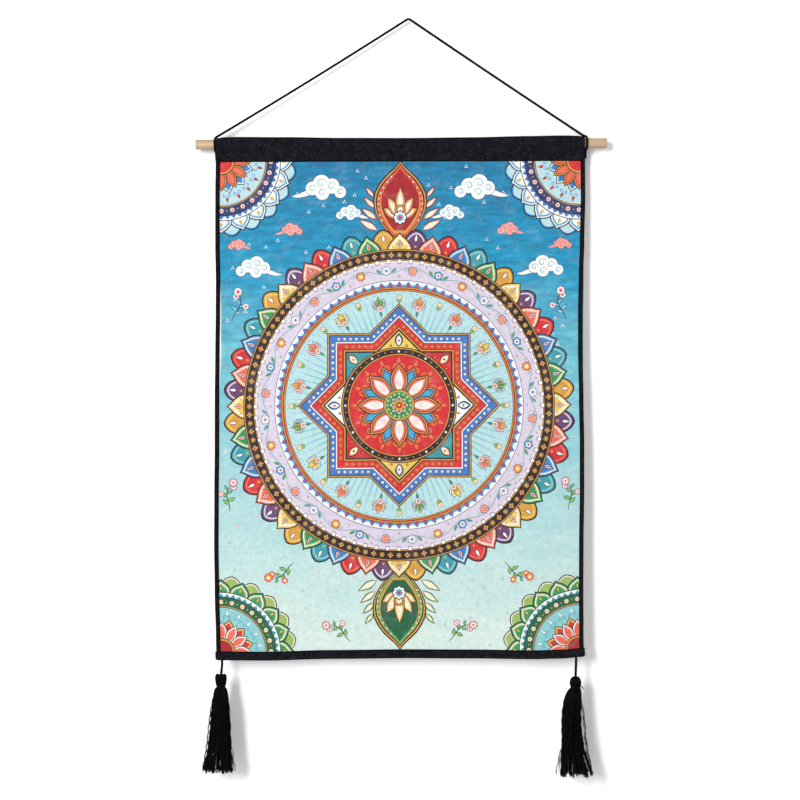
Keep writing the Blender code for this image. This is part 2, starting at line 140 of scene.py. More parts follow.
# The core goes on to these levels of the skirt: (level, share of its width). It ends this far past its rings.
CORE_LEVELS = ((2, 0.66), (3, 0.66), (4, 0.6))
CORE_SIDES = 20
CORE_TOP = 2.2 * MM
CORE_END = 4 * MM
# Head profiles: (drop, radius, share of the lobes' rise), from the dimple over the top and down past the neck.
LEFT_HEAD = (
    (1.6, 1.7, 0.0), (0.4, 2.6, 0.3), (0.0, 4.0, 1.0), (0.9, 5.4, 1.0), (2.8, 6.3, 0.4), (5.4, 6.5, 0.0),
    (9.0, 6.0, 0.0), (12.4, 5.5, 0.0), (13.8, 4.9, 0.0), (15.8, 4.9, 0.0), (17.8, 6.0, 0.0),
)
RIGHT_HEAD = (
    (1.2, 1.5, 0.0), (0.2, 2.1, 0.2), (0.0, 2.8, 0.4), (0.8, 4.1, 0.4), (2.4, 5.4, 0.2), (4.8, 6.4, 0.0),
    (7.4, 6.8, 0.0), (9.8, 6.5, 0.0), (11.6, 5.6, 0.0), (13.8, 5.6, 0.0), (15.8, 7.0, 0.0),
)
# Skirts: (drop, left edge, right edge) from the head's own centre line.
LEFT_SKIRT = (
    (14.8, -4.7, 5.1), (18.0, -7.5, 7.1), (26, -9.6, 8.5), (48, -12.4, 10.7), (82, -15.2, 12.2), (117.6, -22.0, 14.4),
)
RIGHT_SKIRT = (
    (13.2, -5.6, 5.0), (16.4, -8.8, 6.6), (26, -13.2, 7.3), (48, -16.2, 6.4), (80, -17.0, 9.0), (97, -17.4, 14.2),
    (118.8, -19.4, 22.4),
)
# Locks that stand apart: (side, forward share, outward shift at each skirt level, threads, longer by).
LEFT_STRAYS = (
    (-1, 0.1, (0, 0, 0, 0.6, 2.4, 1.6), 8, -0.5),
    (-1, -0.4, (0, 0, 0, 0.2, 1.2, 2.6), 5, 1.2),
    (-1, 0.6, (0, 0, 0, 0.4, 1.9, -0.4), 5, -2.0),
    (1, 0.1, (0, 0, 0, 0.5, 0.9, 1.0), 6, -1.0),
    (1, -0.5, (0, 0, 0, 0.3, 0.4, 0.8), 4, 0.5),
    (1, 0.4, (0, 0, 0, 0.1, 0.3, 4.6), 3, -2.5),
    (1, 0.0, (0, 0, 0, 0.2, 0.4, 3.2), 2, -5.0),
)
RIGHT_STRAYS = (
    (1, 0.1, (0, 0.2, 0.3, 4.8, 5.6, 3.2, 0.2), 5, -1.0),
    (1, -0.2, (0, 0.2, 0.2, 3.6, 4.2, 1.8, -1.0), 4, 0.5),
    (1, 0.5, (0, 0, 0, 0.2, 1.6, 0.6, 1.2), 5, 0.0),
    (1, -0.5, (0, 0, 0, 0.1, 0.6, 0.4, 1.8), 4, -2.0),
    (-1, 0.2, (0, 0, 0, 0.1, 0.6, 4.2, 5.8), 4, -1.5),
    (-1, -0.4, (0, 0, 0, 0.2, 0.6, 3.0, 4.2), 3, -2.0),
    (-1, 0.6, (0, 0, 0, 0.2, 0.8, 2.4, 2.0), 3, 1.0),
)
# Each tassel: (name, x and drop of the head's top, x at the band, head, skirt, locks that stand apart, lobes'
# rise, the winding's drop and radius, seed).
TASSELS = (
    ("left", -227.5, 798.2, -226.0, LEFT_HEAD, LEFT_SKIRT, LEFT_STRAYS, 1.25, (13.8, 5.2), 21),
    ("right", 203.7, 801.0, 204.4, RIGHT_HEAD, RIGHT_SKIRT, RIGHT_STRAYS, 0.3, (11.8, 5.9), 22),
)
# Locks stand this far out in the skirt's section, and lie this loosely. Those that stand apart lie closer.
OUTER_REACH = (0.86, 0.96)
INNER_REACH = 0.74
STRAY_REACH = 0.95
LOCK_LOOSE = 0.15
STRAY_LOOSE = 0.05
# Spacings of the points along a thread: over the head, and in outer, inner and separate locks.
HEAD_STEP = 1.3 * MM
OUTER_STEP = 3.4 * MM
INNER_STEP = 9 * MM
STRAY_STEP = 2.6 * MM
# Threads crimp by this much, once in this length.
CRIMP = 0.46 * MM
CRIMP_LENGTH = (7 * MM, 22 * MM)

# The picture's middle, as a drop under the rod's axis, and the part of the design that shows.
PRINT_MIDDLE = 317.9
PRINT_WIDE = 435.0
PRINT_TALL = 594.0

# Printing inks, in sRGB.
INKS = {
    "azure": "#1c86c4", "sky": "#43a9d2", "aqua": "#8ccbd0", "mint": "#cfe9e0", "cream": "#f3ecd6",
    "red": "#d3222a", "crimson": "#a8161f", "coral": "#ea6a50", "rose": "#eeaaa6", "yellow": "#ecc95a",
    "gold": "#d79a3c", "orange": "#e98a48", "navy": "#22386e", "blue": "#3b78c4", "night": "#23101c",
    "leaf": "#23965f", "deep_leaf": "#14603f", "pale": "#b9dde2", "moss": "#9cba62", "sage": "#8aa59e",
    "lilac": "#d8cfe2", "plum": "#6a3f6e", "white": "#f7f6f1", "teal": "#2e9aa6",
}


def linear(text):
    """The linear colour of an sRGB hex value."""
    found = []
    for i in (1, 3, 5):
        value = int(text[i : i + 2], 16) / 255
        found.append(value / 12.92 if value <= 0.04045 else ((value + 0.055) / 1.055) ** 2.4)
    return found


def size(name, description, millimetres):
    """A length, shown in the scene's units."""
    label = {"name": name, "description": description}
    return FloatProperty(**label, default=millimetres * MM, min=0.0, max=0.1, unit="LENGTH", precision=5)


def number(name, description, usual, least, most):
    return IntProperty(name=name, description=description, default=usual, min=least, max=most)


def colour(name, description, text):
    label = {"name": name, "description": description}
    return FloatVectorProperty(**label, default=linear(text), min=0.0, max=1.0, size=3, subtype="COLOR")


class HangingSizes(PropertyGroup):
    """Sizes of the wall hanging's fine parts"""

    cord: size("Cord", "Diameter of the hanging cord", 2.5)
    cord_pitch: size("Cord pitch", "Length of one turn of the cord's plies", 6.5)
    hanger: size("Hanger", "Diameter of a tassel's short cord", 2.7)
    plies: number("Plies", "Strands twisted into the cord", 3, 2, 6)
    cloth: size("Cloth", "Thickness of the black cloth", 0.6)
    canvas: size("Canvas", "Thickness of the printed canvas", 0.55)
    weave: size("Weave", "Distance between two threads of the cloth", 0.8)
    stitch: size("Stitch", "Length of a stitch that shows", 2.3)
    stitch_gap: size("Stitch gap", "Distance from one stitch to the next", 3.2)
    sewing_thread: size("Sewing thread", "Diameter of the sewing thread", 0.34)
    tassel_thread: size("Tassel thread", "Diameter of a tassel's threads", 0.46)
    winding_thread: size("Winding thread", "Diameter of the thread wound round a tassel's neck", 0.62)
    locks: number("Locks", "Locks of threads in a tassel", 46, 8, 80)
    lock_threads: number("Threads in a lock", "Threads in each lock", 13, 3, 24)
    head_threads: number("Head threads", "Threads over a tassel's head", 150, 40, 240)


class HangingColours(PropertyGroup):
    """Colours of the wall hanging's materials"""

    wood: colour("Wood", "Pale wood of the rod", "#bfa78a")
    wood_grain: colour("Wood grain", "Darker streaks of the rod's wood", "#ac8e6c")
    cloth: colour("Black cloth", "Ground of the black cloth", "#050608")
    cloth_fleck: colour("Black cloth flecks", "Lighter threads of the black cloth", "#2b2c36")
    canvas: colour("Canvas", "Back of the printed canvas", "#e9e7e0")
    cord: colour("Cord", "Black of the hanging cord", "#030304")
    thread: colour("Thread", "Black of the tassels' threads", "#020203")
    wall: colour("Wall", "Wall behind the hanging", "#ffffff")
    floor: colour("Floor", "Floor under the hanging", "#ecebea")
    ground_top: colour("Print ground, top", "Sky at the print's top", "#007ba9")
    ground_high: colour("Print ground, high", "Sky about a fifth of the way down", "#0495c0")
    ground_middle: colour("Print ground, middle", "Ground a little above the print's middle", "#74c4d2")
    ground_low: colour("Print ground, low", "Ground a little below the print's middle", "#d5e9e1")
    ground_bottom: colour("Print ground, bottom", "Ground at the print's bottom", "#d7eae2")


class HangingInks(PropertyGroup):
    """Inks of the print"""

    __annotations__ = {
        ink: colour(ink.replace("_", " ").capitalize(), "Ink of the printed design", text)
        for ink, text in INKS.items()
    }


# Geometry of the hung cloth and the cord, the same rules as the solids'.


def table(rows, at, column=1):
    """Reads a column of a table at a place between its rows, smoothly and without overshoot."""
    if at <= rows[0][0]:
        return rows[0][column]
    for low, high in zip(rows, rows[1:]):
        if at <= high[0]:
            share = (at - low[0]) / (high[0] - low[0])
            ease = share * share * (3 - 2 * share)
            return low[column] + (high[column] - low[column]) * ease
    return rows[-1][column]


def ramp(start, end, at):
    """Rises smoothly from 0 at start to 1 at end."""
    share = min(max((at - start) / (end - start), 0), 1)
    return share * share * (3 - 2 * share)


def rod_axis(x):
    """Height of the rod's axis at x."""
    return -ROD_DROP + ROD_RISE * x


def ripple(across, drop):
    """How far the cloth's mid-plane stands behind the rod's axis."""
    depth = 0
    for height, waves, lean, start in RIPPLES:
        turns = waves * across + lean * drop / CLOTH_DROP + start
        depth += height * MM * sin(tau * turns)
    return depth * ramp(RIPPLE_STARTS, RIPPLE_FULL, drop)


def hang(along, drop, off):
    """A point of the cloth: along from its left edge, drop under the rod's axis, off behind mid-plane."""
    across = along / CLOTH_WIDTH
    left = table(SIDE_EDGES, drop / MM, 1) * MM
    right = table(SIDE_EDGES, drop / MM, 2) * MM
    x = left + (right - left) * across
    stretch = 1 + table(BOTTOM_EDGE, across) * MM / CLOTH_DROP
    return Vector((x, ripple(across, drop) + off, rod_axis(x) - drop * stretch))


def smooth_route(points, spacing, long_spacing=None):
    """Reads points that far apart from a smooth curve through a route, further apart in its long straight runs."""
    ends = [points[0] * 2 - points[1], *points, points[-1] * 2 - points[-2]]
    route = []
    for before, start, end, after in zip(ends, ends[1:], ends[2:], ends[3:]):
        pull = (end - start).length
        apart = long_spacing if long_spacing and pull > CORD_LONG_RUN else spacing
        steps = max(1, round(pull / apart))
        leave = (end - before) * (pull / (end - before).length)
        arrive = (after - start) * (pull / (after - start).length)
        for step in range(steps):
            t = step / steps
            a = (1 + 2 * t) * (1 - t) ** 2
            b = t * (1 - t) ** 2
            c = t * t * (3 - 2 * t)
            d = t * t * (t - 1)
            route.append(start * a + leave * b + end * c + arrive * d)
    return route + [points[-1]]


def cord_turn(side, turn_x, cross_x, cross_height):
    """The cord's route at one end, from behind the rod, round its front and up past the heading's end."""
    points = []
    x = turn_x * MM
    for step in range(TURN_STEPS + 1):
        angle = radians(TURN_END + (TURN_START - TURN_END) * step / TURN_STEPS)
        lift = TURN_RADIUS * cos(angle)
        points.append(Vector((x, -TURN_RADIUS * sin(angle), rod_axis(x) + lift)))
    back, forward, height = (length * MM for length in CORD_SHOULDER)
    points.append(Vector((x - side * back, -forward, rod_axis(x) + height)))
    cross = cross_x * MM
    points.append(Vector((cross, -CORD_CROSS_DEPTH, rod_axis(cross) + cross_height * MM)))
    return points


def cord_route():
    """The whole route: the left turn, the straight run up, the bend at the hanging point, and back down."""
    turns = [cord_turn(*row) for row in CORD_ENDS]
    apex = Vector((APEX_SHIFT, 0, CORD_RADIUS - APEX_RADIUS - APEX_SAG))
    slopes = [atan2(apex.z + APEX_RADIUS - turn[-1].z, abs(turn[-1].x - apex.x)) for turn in turns]
    bend = []
    for step in range(APEX_STEPS + 1):
        angle = -slopes[0] + sum(slopes) * step / APEX_STEPS
        bend.append(apex + APEX_RADIUS * Vector((sin(angle), 0, cos(angle))))
    legs = []
    for turn, top, sag in zip(turns, (bend[0], bend[-1]), LEG_SAGS):
        down = Vector((0, 0, -4 * sag * MM))
        legs.append([turn[-1].lerp(top, share) + down * share * (1 - share) for share in RUN_SHARES])
    return turns[0] + legs[0] + bend + legs[1][::-1] + turns[1][::-1]


def half_gap_at(along):
    """Half the room inside the heading and the band: the picture alone, or the bindings near the ends."""
    from_end = min(along, CLOTH_WIDTH - along)
    picture = LAYER / 2 + CLEARANCE
    bound = picture + LAYER + CLEARANCE
    return bound + (picture - bound) * ramp(OVER_BINDING, PAST_BINDING, from_end)


# Helpers for meshes, node trees and materials.


def node(tree, kind, links=None, stops=None, **settings):
    """Adds a node with its settings, and sets or links its inputs. A kind without "Node" in it is a shader's."""
    made = tree.nodes.new(kind if "Node" in kind else "ShaderNode" + kind)
    for name, value in settings.items():
        setattr(made, name, value)
    for key, value in (links or {}).items():
        if isinstance(value, bpy.types.Node):
            value = next(out for out in value.outputs if out.enabled)
        if isinstance(value, NodeSocket):
            tree.links.new(value, made.inputs[key])
        else:
            made.inputs[key].default_value = value
    for place, stop in enumerate(stops or ()):
        elements = made.color_ramp.elements
        element = elements[place] if place < 2 else elements.new(1.0)
        element.position, element.color = stop[0], (*stop[1], 1)
    return made


def surface(name, colours, roughness, **settings):
    """A new material, its node tree and its shader."""
    made = bpy.data.materials.new(name)
    made.use_nodes = True
    made.diffuse_color = (*colours, 1)
    shader = made.node_tree.nodes["Principled BSDF"]
    shader.inputs["Base Color"].default_value = (*colours, 1)
    shader.inputs["Roughness"].default_value = roughness
    for key, value in settings.items():
        shader.inputs[key.replace("_", " ")].default_value = value
    return made, made.node_tree, shader


def link_object(context, mesh, slot_name, *replaced):
    """Links a finished mesh to the scene under its own name and hides the solids that it stands for."""
    made = bpy.data.objects.new(mesh.name, mesh)
    context.scene.collection.objects.link(made)
    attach(made, "root")
    if replaced:
        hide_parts(*replaced)
    return made


def guide_mesh(routes, ways):
    """Routes as chains of edges, with the way that each route faces."""
    points, edges, facing = [], [], []
    for route, way in zip(routes, ways):
        start = len(points)
        points += [tuple(point) for point in route]
        edges += [(start + i, start + i + 1) for i in range(len(route) - 1)]
        facing += [*way] * len(route)
    mesh = bpy.data.meshes.new("guide")
    mesh.from_pydata(points, edges, [])
    mesh.attributes.new("facing", "FLOAT_VECTOR", "POINT").data.foreach_set("vector", facing)
    return mesh


def new_tree(name, **inputs):
    """A geometry node tree with named inputs, and what they give."""
    tree = bpy.data.node_groups.new(name, "GeometryNodeTree")
    for label, kind in {"Geometry": "Geometry", **inputs}.items():
        tree.interface.new_socket(name=label, in_out="INPUT", socket_type="NodeSocket" + kind)
    tree.interface.new_socket(name="Geometry", in_out="OUTPUT", socket_type="NodeSocketGeometry")
    return tree, node(tree, "NodeGroupInput").outputs


def swept(tree, curve, sides, radius):
    """A closed tube with that many sides along a curve."""
    ring = node(tree, "GeometryNodeCurvePrimitiveCircle", {"Resolution": sides, "Radius": radius})
    links = {"Curve": curve, "Profile Curve": ring.outputs[0], "Fill Caps": True}
    return node(tree, "GeometryNodeCurveToMesh", links)


def finish_tree(tree, geometry, given):
    """Ends a tree: smooth shading, real geometry and the material."""
    smooth = node(tree, "GeometryNodeSetShadeSmooth", {"Geometry": geometry})
    real = node(tree, "GeometryNodeRealizeInstances", {"Geometry": smooth})
    dressed = node(tree, "GeometryNodeSetMaterial", {"Geometry": real, "Material": given["Material"]})
    node(tree, "NodeGroupOutput", {0: dressed})
    return tree


# A ply's helix and its own thickness, as shares of the cord's radius, and the points in each turn of it.
HELIX_SHARE = 0.47
PLY_SHARE = 0.53
PLY_STEPS = 12.0
PLY_SIDES = 8


def twisted_tree():
    """Plies wound round each guide, each ply a helix with a round section, pressed a little into the others."""
    inputs = {"Plies": "Int", "Radius": "Float", "Pitch": "Float", "Material": "Material"}
    tree, given = new_tree("Twisted plies", **inputs)
    step = node(tree, "Math", {0: given["Pitch"], 1: PLY_STEPS}, operation="DIVIDE")
    curve = node(tree, "GeometryNodeMeshToCurve", {"Mesh": given["Geometry"]})
    even = node(tree, "GeometryNodeResampleCurve", {"Curve": curve, "Length": step}, mode="LENGTH")
    links = {"Geometry": even, "Amount": given["Plies"]}
    copies = node(tree, "GeometryNodeDuplicateElements", links, domain="SPLINE")
    length = node(tree, "GeometryNodeSplineParameter").outputs["Length"]
    turns = node(tree, "Math", {0: length, 1: given["Pitch"]}, operation="DIVIDE")
    share = node(tree, "Math", {0: copies.outputs[1], 1: given["Plies"]}, operation="DIVIDE")
    whole = node(tree, "Math", {0: turns, 1: share}, operation="ADD")
    angle = node(tree, "Math", {0: whole, 1: tau}, operation="MULTIPLY")
    helix = node(tree, "Math", {0: given["Radius"], 1: HELIX_SHARE}, operation="MULTIPLY")
    ply = node(tree, "Math", {0: given["Radius"], 1: PLY_SHARE}, operation="MULTIPLY")
    normal = node(tree, "GeometryNodeInputNormal").outputs["Normal"]
    tangent = node(tree, "GeometryNodeInputTangent")
    beside = node(tree, "VectorMath", {0: tangent, 1: normal}, operation="CROSS_PRODUCT")
    offsets = []
    for way, wave in ((normal, "COSINE"), (beside, "SINE")):
        part = node(tree, "Math", {0: angle}, operation=wave)
        reach = node(tree, "Math", {0: part, 1: helix}, operation="MULTIPLY")
        offsets.append(node(tree, "VectorMath", {0: way, "Scale": reach}, operation="SCALE"))
    both = node(tree, "VectorMath", dict(enumerate(offsets)), operation="ADD")
    moved = node(tree, "GeometryNodeSetPosition", {"Geometry": copies.outputs[0], "Offset": both})
    return finish_tree(tree, swept(tree, moved, PLY_SIDES, ply), given)


def thread_tree():
    """A plain round thread along each guide."""
    tree, given = new_tree("Threads", Radius="Float", Sides="Int", Material="Material")
    curve = node(tree, "GeometryNodeMeshToCurve", {"Mesh": given["Geometry"]})
    return finish_tree(tree, swept(tree, curve, given["Sides"], given["Radius"]), given)


# A stitch: the points along it, its sides, and how much of its arch, in radii, dips into the cloth.
STITCH_POINTS = 5
STITCH_SIDES = 6
STITCH_DIP = 0.75


def stitch_tree():
    """Running stitches along each guide: short arched threads whose ends dip into the cloth."""
    tree, given = new_tree("Stitches", Length="Float", Gap="Float", Radius="Float", Material="Material")
    curve = node(tree, "GeometryNodeMeshToCurve", {"Mesh": given["Geometry"]})
    even = node(tree, "GeometryNodeResampleCurve", {"Curve": curve, "Length": given["Gap"]}, mode="LENGTH")
    tangent = node(tree, "GeometryNodeInputTangent")
    facing = node(tree, "GeometryNodeInputNamedAttribute", {"Name": "facing"}, data_type="FLOAT_VECTOR")
    links = {"Primary Axis": tangent, "Secondary Axis": facing.outputs[0]}
    turn = node(tree, "FunctionNodeAxesToRotation", links, primary_axis="X", secondary_axis="Z")
    half = node(tree, "Math", {0: given["Length"], 1: 0.5}, operation="MULTIPLY")
    minus = node(tree, "Math", {0: half, 1: -1.0}, operation="MULTIPLY")
    start = node(tree, "CombineXYZ", {"X": minus})
    end = node(tree, "CombineXYZ", {"X": half})
    line = node(tree, "GeometryNodeCurvePrimitiveLine", {"Start": start, "End": end})
    parts = node(tree, "GeometryNodeResampleCurve", {"Curve": line, "Count": STITCH_POINTS}, mode="COUNT")
    factor = node(tree, "GeometryNodeSplineParameter").outputs["Factor"]
    swing = node(tree, "Math", {0: factor, 1: pi}, operation="MULTIPLY")
    arch = node(tree, "Math", {0: swing}, operation="SINE")
    low = node(tree, "Math", {0: arch, 1: STITCH_DIP}, operation="SUBTRACT")
    rise = node(tree, "Math", {0: low, 1: given["Radius"]}, operation="MULTIPLY")
    up = node(tree, "CombineXYZ", {"Z": rise})
    bowed = node(tree, "GeometryNodeSetPosition", {"Geometry": parts, "Offset": up})
    stitch = swept(tree, bowed, STITCH_SIDES, given["Radius"])
    links = {"Points": even, "Instance": stitch, "Rotation": turn}
    return finish_tree(tree, node(tree, "GeometryNodeInstanceOnPoints", links), given)


def grown(context, name, routes, tree, ways=None, **values):
    """The plain mesh that a node tree makes along routes. Where it matters, ways says how each of them faces."""
    guide = guide_mesh(routes, ways or [(0, -1, 0)] * len(routes))
    holder = bpy.data.objects.new(name, guide)
    context.scene.collection.objects.link(holder)
    modifier = holder.modifiers.new(name, "NODES")
    modifier.node_group = tree
    for item in tree.interface.items_tree:
        if item.in_out == "INPUT" and item.name in values:
            modifier[item.identifier] = values[item.name]
    graph = context.evaluated_depsgraph_get()
    mesh = bpy.data.meshes.new_from_object(holder.evaluated_get(graph), depsgraph=graph)
    mesh.name = name
    bpy.data.objects.remove(holder)
    bpy.data.meshes.remove(guide)
    if not mesh.polygons:
        raise RuntimeError(f"{name}: the node tree made no faces")
    return mesh


def joined(name, meshes):
    """One mesh from several with the same materials."""
    body = bmesh.new()
    materials = list(meshes[0].materials)
    for mesh in meshes:
        body.from_mesh(mesh)
    made = bpy.data.meshes.new(name)
    body.to_mesh(made)
    body.free()
    for material in materials:
        made.materials.append(material)
    for mesh in meshes:
        bpy.data.meshes.remove(mesh)
    return made


MIX = {"data_type": "RGBA"}
# The picture's map: this height stands for the rod's axis, and the back's map lies this far to the right.
MAP_TOP = 0.64
MAP_BACK = 0.5


def shade(colour_now, share):
    """A colour made darker or lighter, with full alpha."""
    return (*(min(1.0, value * share) for value in colour_now), 1.0)


def marks(tree, place, scale, detail, span=None, **look):
    """Noise of that many marks a metre along each axis. A span (low, high, least, most) stretches its middle."""
    spread = node(tree, "Mapping", {"Vector": place, "Scale": scale})
    made = node(tree, "TexNoise", {"Vector": spread, "Scale": 1.0, "Detail": detail, **look})
    if span is None:
        return made
    sides = dict(zip(("From Min", "From Max", "To Min", "To Max"), span))
    return node(tree, "MapRange", {"Value": made, **sides})


def woven(tree, place, spacing, wander):
    """Height of a plain weave on a map in metres, from 0 to 1: threads go over one and under the next.

    Real threads lie about 0.5 mm apart. They are drawn as coarse as the sizes say, so that they show.
    """
    drift = marks(tree, place, (0.2 / spacing,) * 3, 3.0)
    links = {0: drift.outputs["Color"], "Scale": wander * spacing}
    spread = node(tree, "VectorMath", links, operation="SCALE")
    shifted = node(tree, "VectorMath", {0: place, 1: spread}, operation="ADD")
    turned = node(tree, "VectorMath", {0: shifted, "Scale": pi / spacing}, operation="SCALE")
    split = node(tree, "SeparateXYZ", {0: turned})
    waves = [node(tree, "Math", {0: out}, operation="SINE") for out in split.outputs[:2]]
    checks = node(tree, "Math", dict(enumerate(waves)), operation="MULTIPLY")
    return node(tree, "MapRange", {"Value": checks, "From Min": -1.0})


def finish_surface(tree, shader, dye, height=None, strength=0.0, distance=0.0):
    """Gives a surface a mix of two colours, and its relief as a bump that is that many metres high."""
    tree.links.new(node(tree, "Mix", dye, **MIX).outputs[2], shader.inputs["Base Color"])
    if height is not None:
        bump = node(tree, "Bump", {"Height": height, "Strength": strength, "Distance": distance})
        tree.links.new(bump.outputs[0], shader.inputs["Normal"])


def wood_material(colours):
    """Beech dowel, sanded and left bare: pale and matt, with fine straight streaks and short darker pores."""
    made, tree, shader = surface("Beech dowel, sanded and bare", colours.wood, 0.55, IOR=1.5)
    place = node(tree, "TexCoord").outputs["Object"]
    # Growth streaks about 1.5 mm apart, and fibres about 0.3 mm apart, both along the rod.
    streaks = marks(tree, place, (5, 420, 420), 4.0, (0.36, 0.68), Distortion=0.3)
    fibres = marks(tree, place, (16, 2400, 2400), 4.0, Distortion=0.3)
    # Pores of beech are under 0.1 mm wide: drawn as dashes three times as wide, so that they show.
    dashes = marks(tree, place, (120, 3000, 3000), 1.0, (0.64, 0.74, 0.0, 0.55))
    grain = {0: streaks, 6: shade(colours.wood, 1), 7: shade(colours.wood_grain, 1)}
    pores = {0: dashes, 6: node(tree, "Mix", grain, **MIX), 7: shade(colours.wood_grain, 0.45)}
    finish_surface(tree, shader, pores, fibres, 0.25, 0.0001)
    return made


def black_cloth_material(colours, sizes):
    """Linen-cotton cloth, dyed black and plain woven: matt, with uneven threads whose thick places look paler."""
    name = "Linen-cotton cloth, dyed black"
    made, tree, shader = surface(name, colours.cloth, 0.92, Specular_IOR_Level=0.1)
    place = node(tree, "UVMap", uv_map="map")
    height = woven(tree, place, sizes.weave, 0.7)
    # Thick places of single threads, 3 to 8 mm long, drawn 1.5 mm wide, twice a thread, so that they show. Then
    # uneven dye, in blotches of 4 to 12 mm.
    uneven = []
    for scale, low, high in (((150, 620, 1), 0.57, 0.68), ((680, 170, 1), 0.56, 0.67), ((130, 100, 1), 0.35, 0.68)):
        uneven.append(marks(tree, place, scale, 2.0, (low, high), Roughness=0.6))
    slubs = node(tree, "Math", dict(enumerate(uneven[:2])), operation="MAXIMUM")
    # The weave's raised places are painted a little paler and its low places darker: painted highlight and shade.
    share = node(tree, "Math", {0: height, 1: 0.07, 2: 0.0}, operation="MULTIPLY_ADD")
    for layer, part in ((slubs, 0.58), (uneven[2], 0.22)):
        share = node(tree, "Math", {0: layer, 1: part, 2: share}, operation="MULTIPLY_ADD")
    # Painted shade along the turned-in edge by the sewing: the colour is darker there. The map counts up from there.
    up = node(tree, "SeparateXYZ", {0: place}).outputs["Y"]
    edge = node(tree, "MapRange", {"Value": up, "From Min": 0.7 * MM, "From Max": 1.8 * MM})
    # Painted shade on the folds: the cloth is painted deeper black where it turns away from the front and from the
    # back.
    facing = node(tree, "SeparateXYZ", {0: node(tree, "NewGeometry").outputs["Normal"]})
    flat = node(tree, "Math", {0: facing.outputs["Y"]}, operation="ABSOLUTE")
    fold_painted_shade = node(tree, "MapRange", {"Value": flat, "From Min": 0.4, "From Max": 0.8})
    for part in (edge, fold_painted_shade):
        share = node(tree, "Math", {0: share, 1: part}, operation="MULTIPLY")
    dye = {0: share, 6: shade(colours.cloth, 1), 7: shade(colours.cloth_fleck, 1)}
    relief = node(tree, "Math", {0: slubs, 1: 0.8, 2: height}, operation="MULTIPLY_ADD")
    finish_surface(tree, shader, dye, relief, 0.5, 0.00022)
    return made


def print_material(colours, sizes):
    """Cotton canvas with a pigment print: flat colour that is uneven and worn, and a fine weave."""
    made, tree, shader = surface("Cotton canvas, pigment printed", colours.ground_middle, 0.78, IOR=1.5)
    place = node(tree, "UVMap", uv_map="map")
    # The ground's brushed change from blue to pale, uneven over 20 to 70 mm, and its brush marks of 6 to 25 mm.
    # The marks die away down the picture, where the ground is smooth.
    drift = marks(tree, place, (16, 40, 1), 6.0)
    brushed = marks(tree, place, (42, 170, 1), 6.0, (0.3, 0.7, -0.28, 0.2))
    top, bottom = MAP_TOP - HEADING_SEAM_LEFT, MAP_TOP - CLOTH_DROP + BAND_HEIGHT
    height = node(tree, "SeparateXYZ", {0: place}).outputs["Y"]
    down = node(tree, "MapRange", {"Value": height, "From Min": top, "From Max": bottom})
    shifted = node(tree, "Math", {0: drift, 1: 0.26, 2: -0.13}, operation="MULTIPLY_ADD")
    uneven = node(tree, "Math", {0: down, 1: shifted}, operation="ADD")
    stops = (
        (0.0, colours.ground_top), (1.0, colours.ground_bottom), (0.22, colours.ground_high),
        (0.44, colours.ground_middle), (0.60, colours.ground_low),
    )
    ground = node(tree, "ValToRGB", {0: uneven}, stops=stops)
    fade = {"Value": down, "From Min": 0.25, "From Max": 0.7, "To Min": 1.0, "To Max": 0.12}
    calm = node(tree, "MapRange", fade)
    strength = node(tree, "Math", {0: brushed, 1: calm, 2: 1.0}, operation="MULTIPLY_ADD")
    ground = node(tree, "VectorMath", {0: ground.outputs["Color"], "Scale": strength}, operation="SCALE")
    ink = node(tree, "VertexColor", layer_name="print")
    laid = node(tree, "Mix", {0: ink.outputs["Alpha"], 6: ground, 7: ink.outputs["Color"]}, **MIX)
    # Uneven ink: mottles of 2 to 8 mm. Then wear that lets the canvas through, thinly in patches of 10 to 30 mm
    # and in specks of 1 to 2 mm.
    mottle = marks(tree, place, (170,) * 3, 5.0, (0.3, 0.7, 0.71, 0.87), Roughness=0.62)
    laid = node(tree, "VectorMath", {0: laid, "Scale": mottle}, operation="SCALE")
    thin = marks(tree, place, (55,) * 3, 4.0, (0.5, 0.78, 0.0, 0.09), Roughness=0.7)
    specks = marks(tree, place, (520,) * 3, 4.0, (0.64, 0.74, 0.0, 0.35), Roughness=0.7)
    laid = node(tree, "Mix", {0: thin, 6: laid, 7: shade(colours.canvas, 1)}, **MIX)
    worn = {0: specks, 6: laid, 7: shade(colours.canvas, 1)}
    finish_surface(tree, shader, worn, woven(tree, place, sizes.weave, 0.25), 0.18, 0.00012)
    return made


def canvas_material(colours, sizes):
    """Cotton canvas, unprinted back: off-white and matt, with an even plain weave."""
    made, tree, shader = surface("Cotton canvas, unprinted side", colours.canvas, 0.9, IOR=1.5)
    height = woven(tree, node(tree, "UVMap", uv_map="map"), sizes.weave, 0.3)
    # The weave's low places, between the threads, are painted darker: painted shade.
    dye = {0: height, 6: shade(colours.canvas, 0.86), 7: shade(colours.canvas, 1)}
    finish_surface(tree, shader, dye, height, 0.3, 0.00015)
    return made


CORD_SURFACE = "Polyester cord, twisted, black"


def cord_material(colours):
    """Polyester cord, twisted and dyed black: filaments run along each ply and give it a soft gloss."""
    made, tree, shader = surface(CORD_SURFACE, colours.cord, 0.5, Specular_IOR_Level=0.08)
    # Filament bundles about 0.25 mm apart.
    fuzz = marks(tree, node(tree, "TexCoord").outputs["Object"], (4200,) * 3, 2.0)
    share = node(tree, "MapRange", {"Value": fuzz, "From Min": 0.35, "From Max": 0.7, "To Max": 0.6})
    dye = {0: share, 6: shade(colours.cord, 1), 7: shade(colours.cord, 3)}
    finish_surface(tree, shader, dye, fuzz, 0.4, 0.0001)
    return made


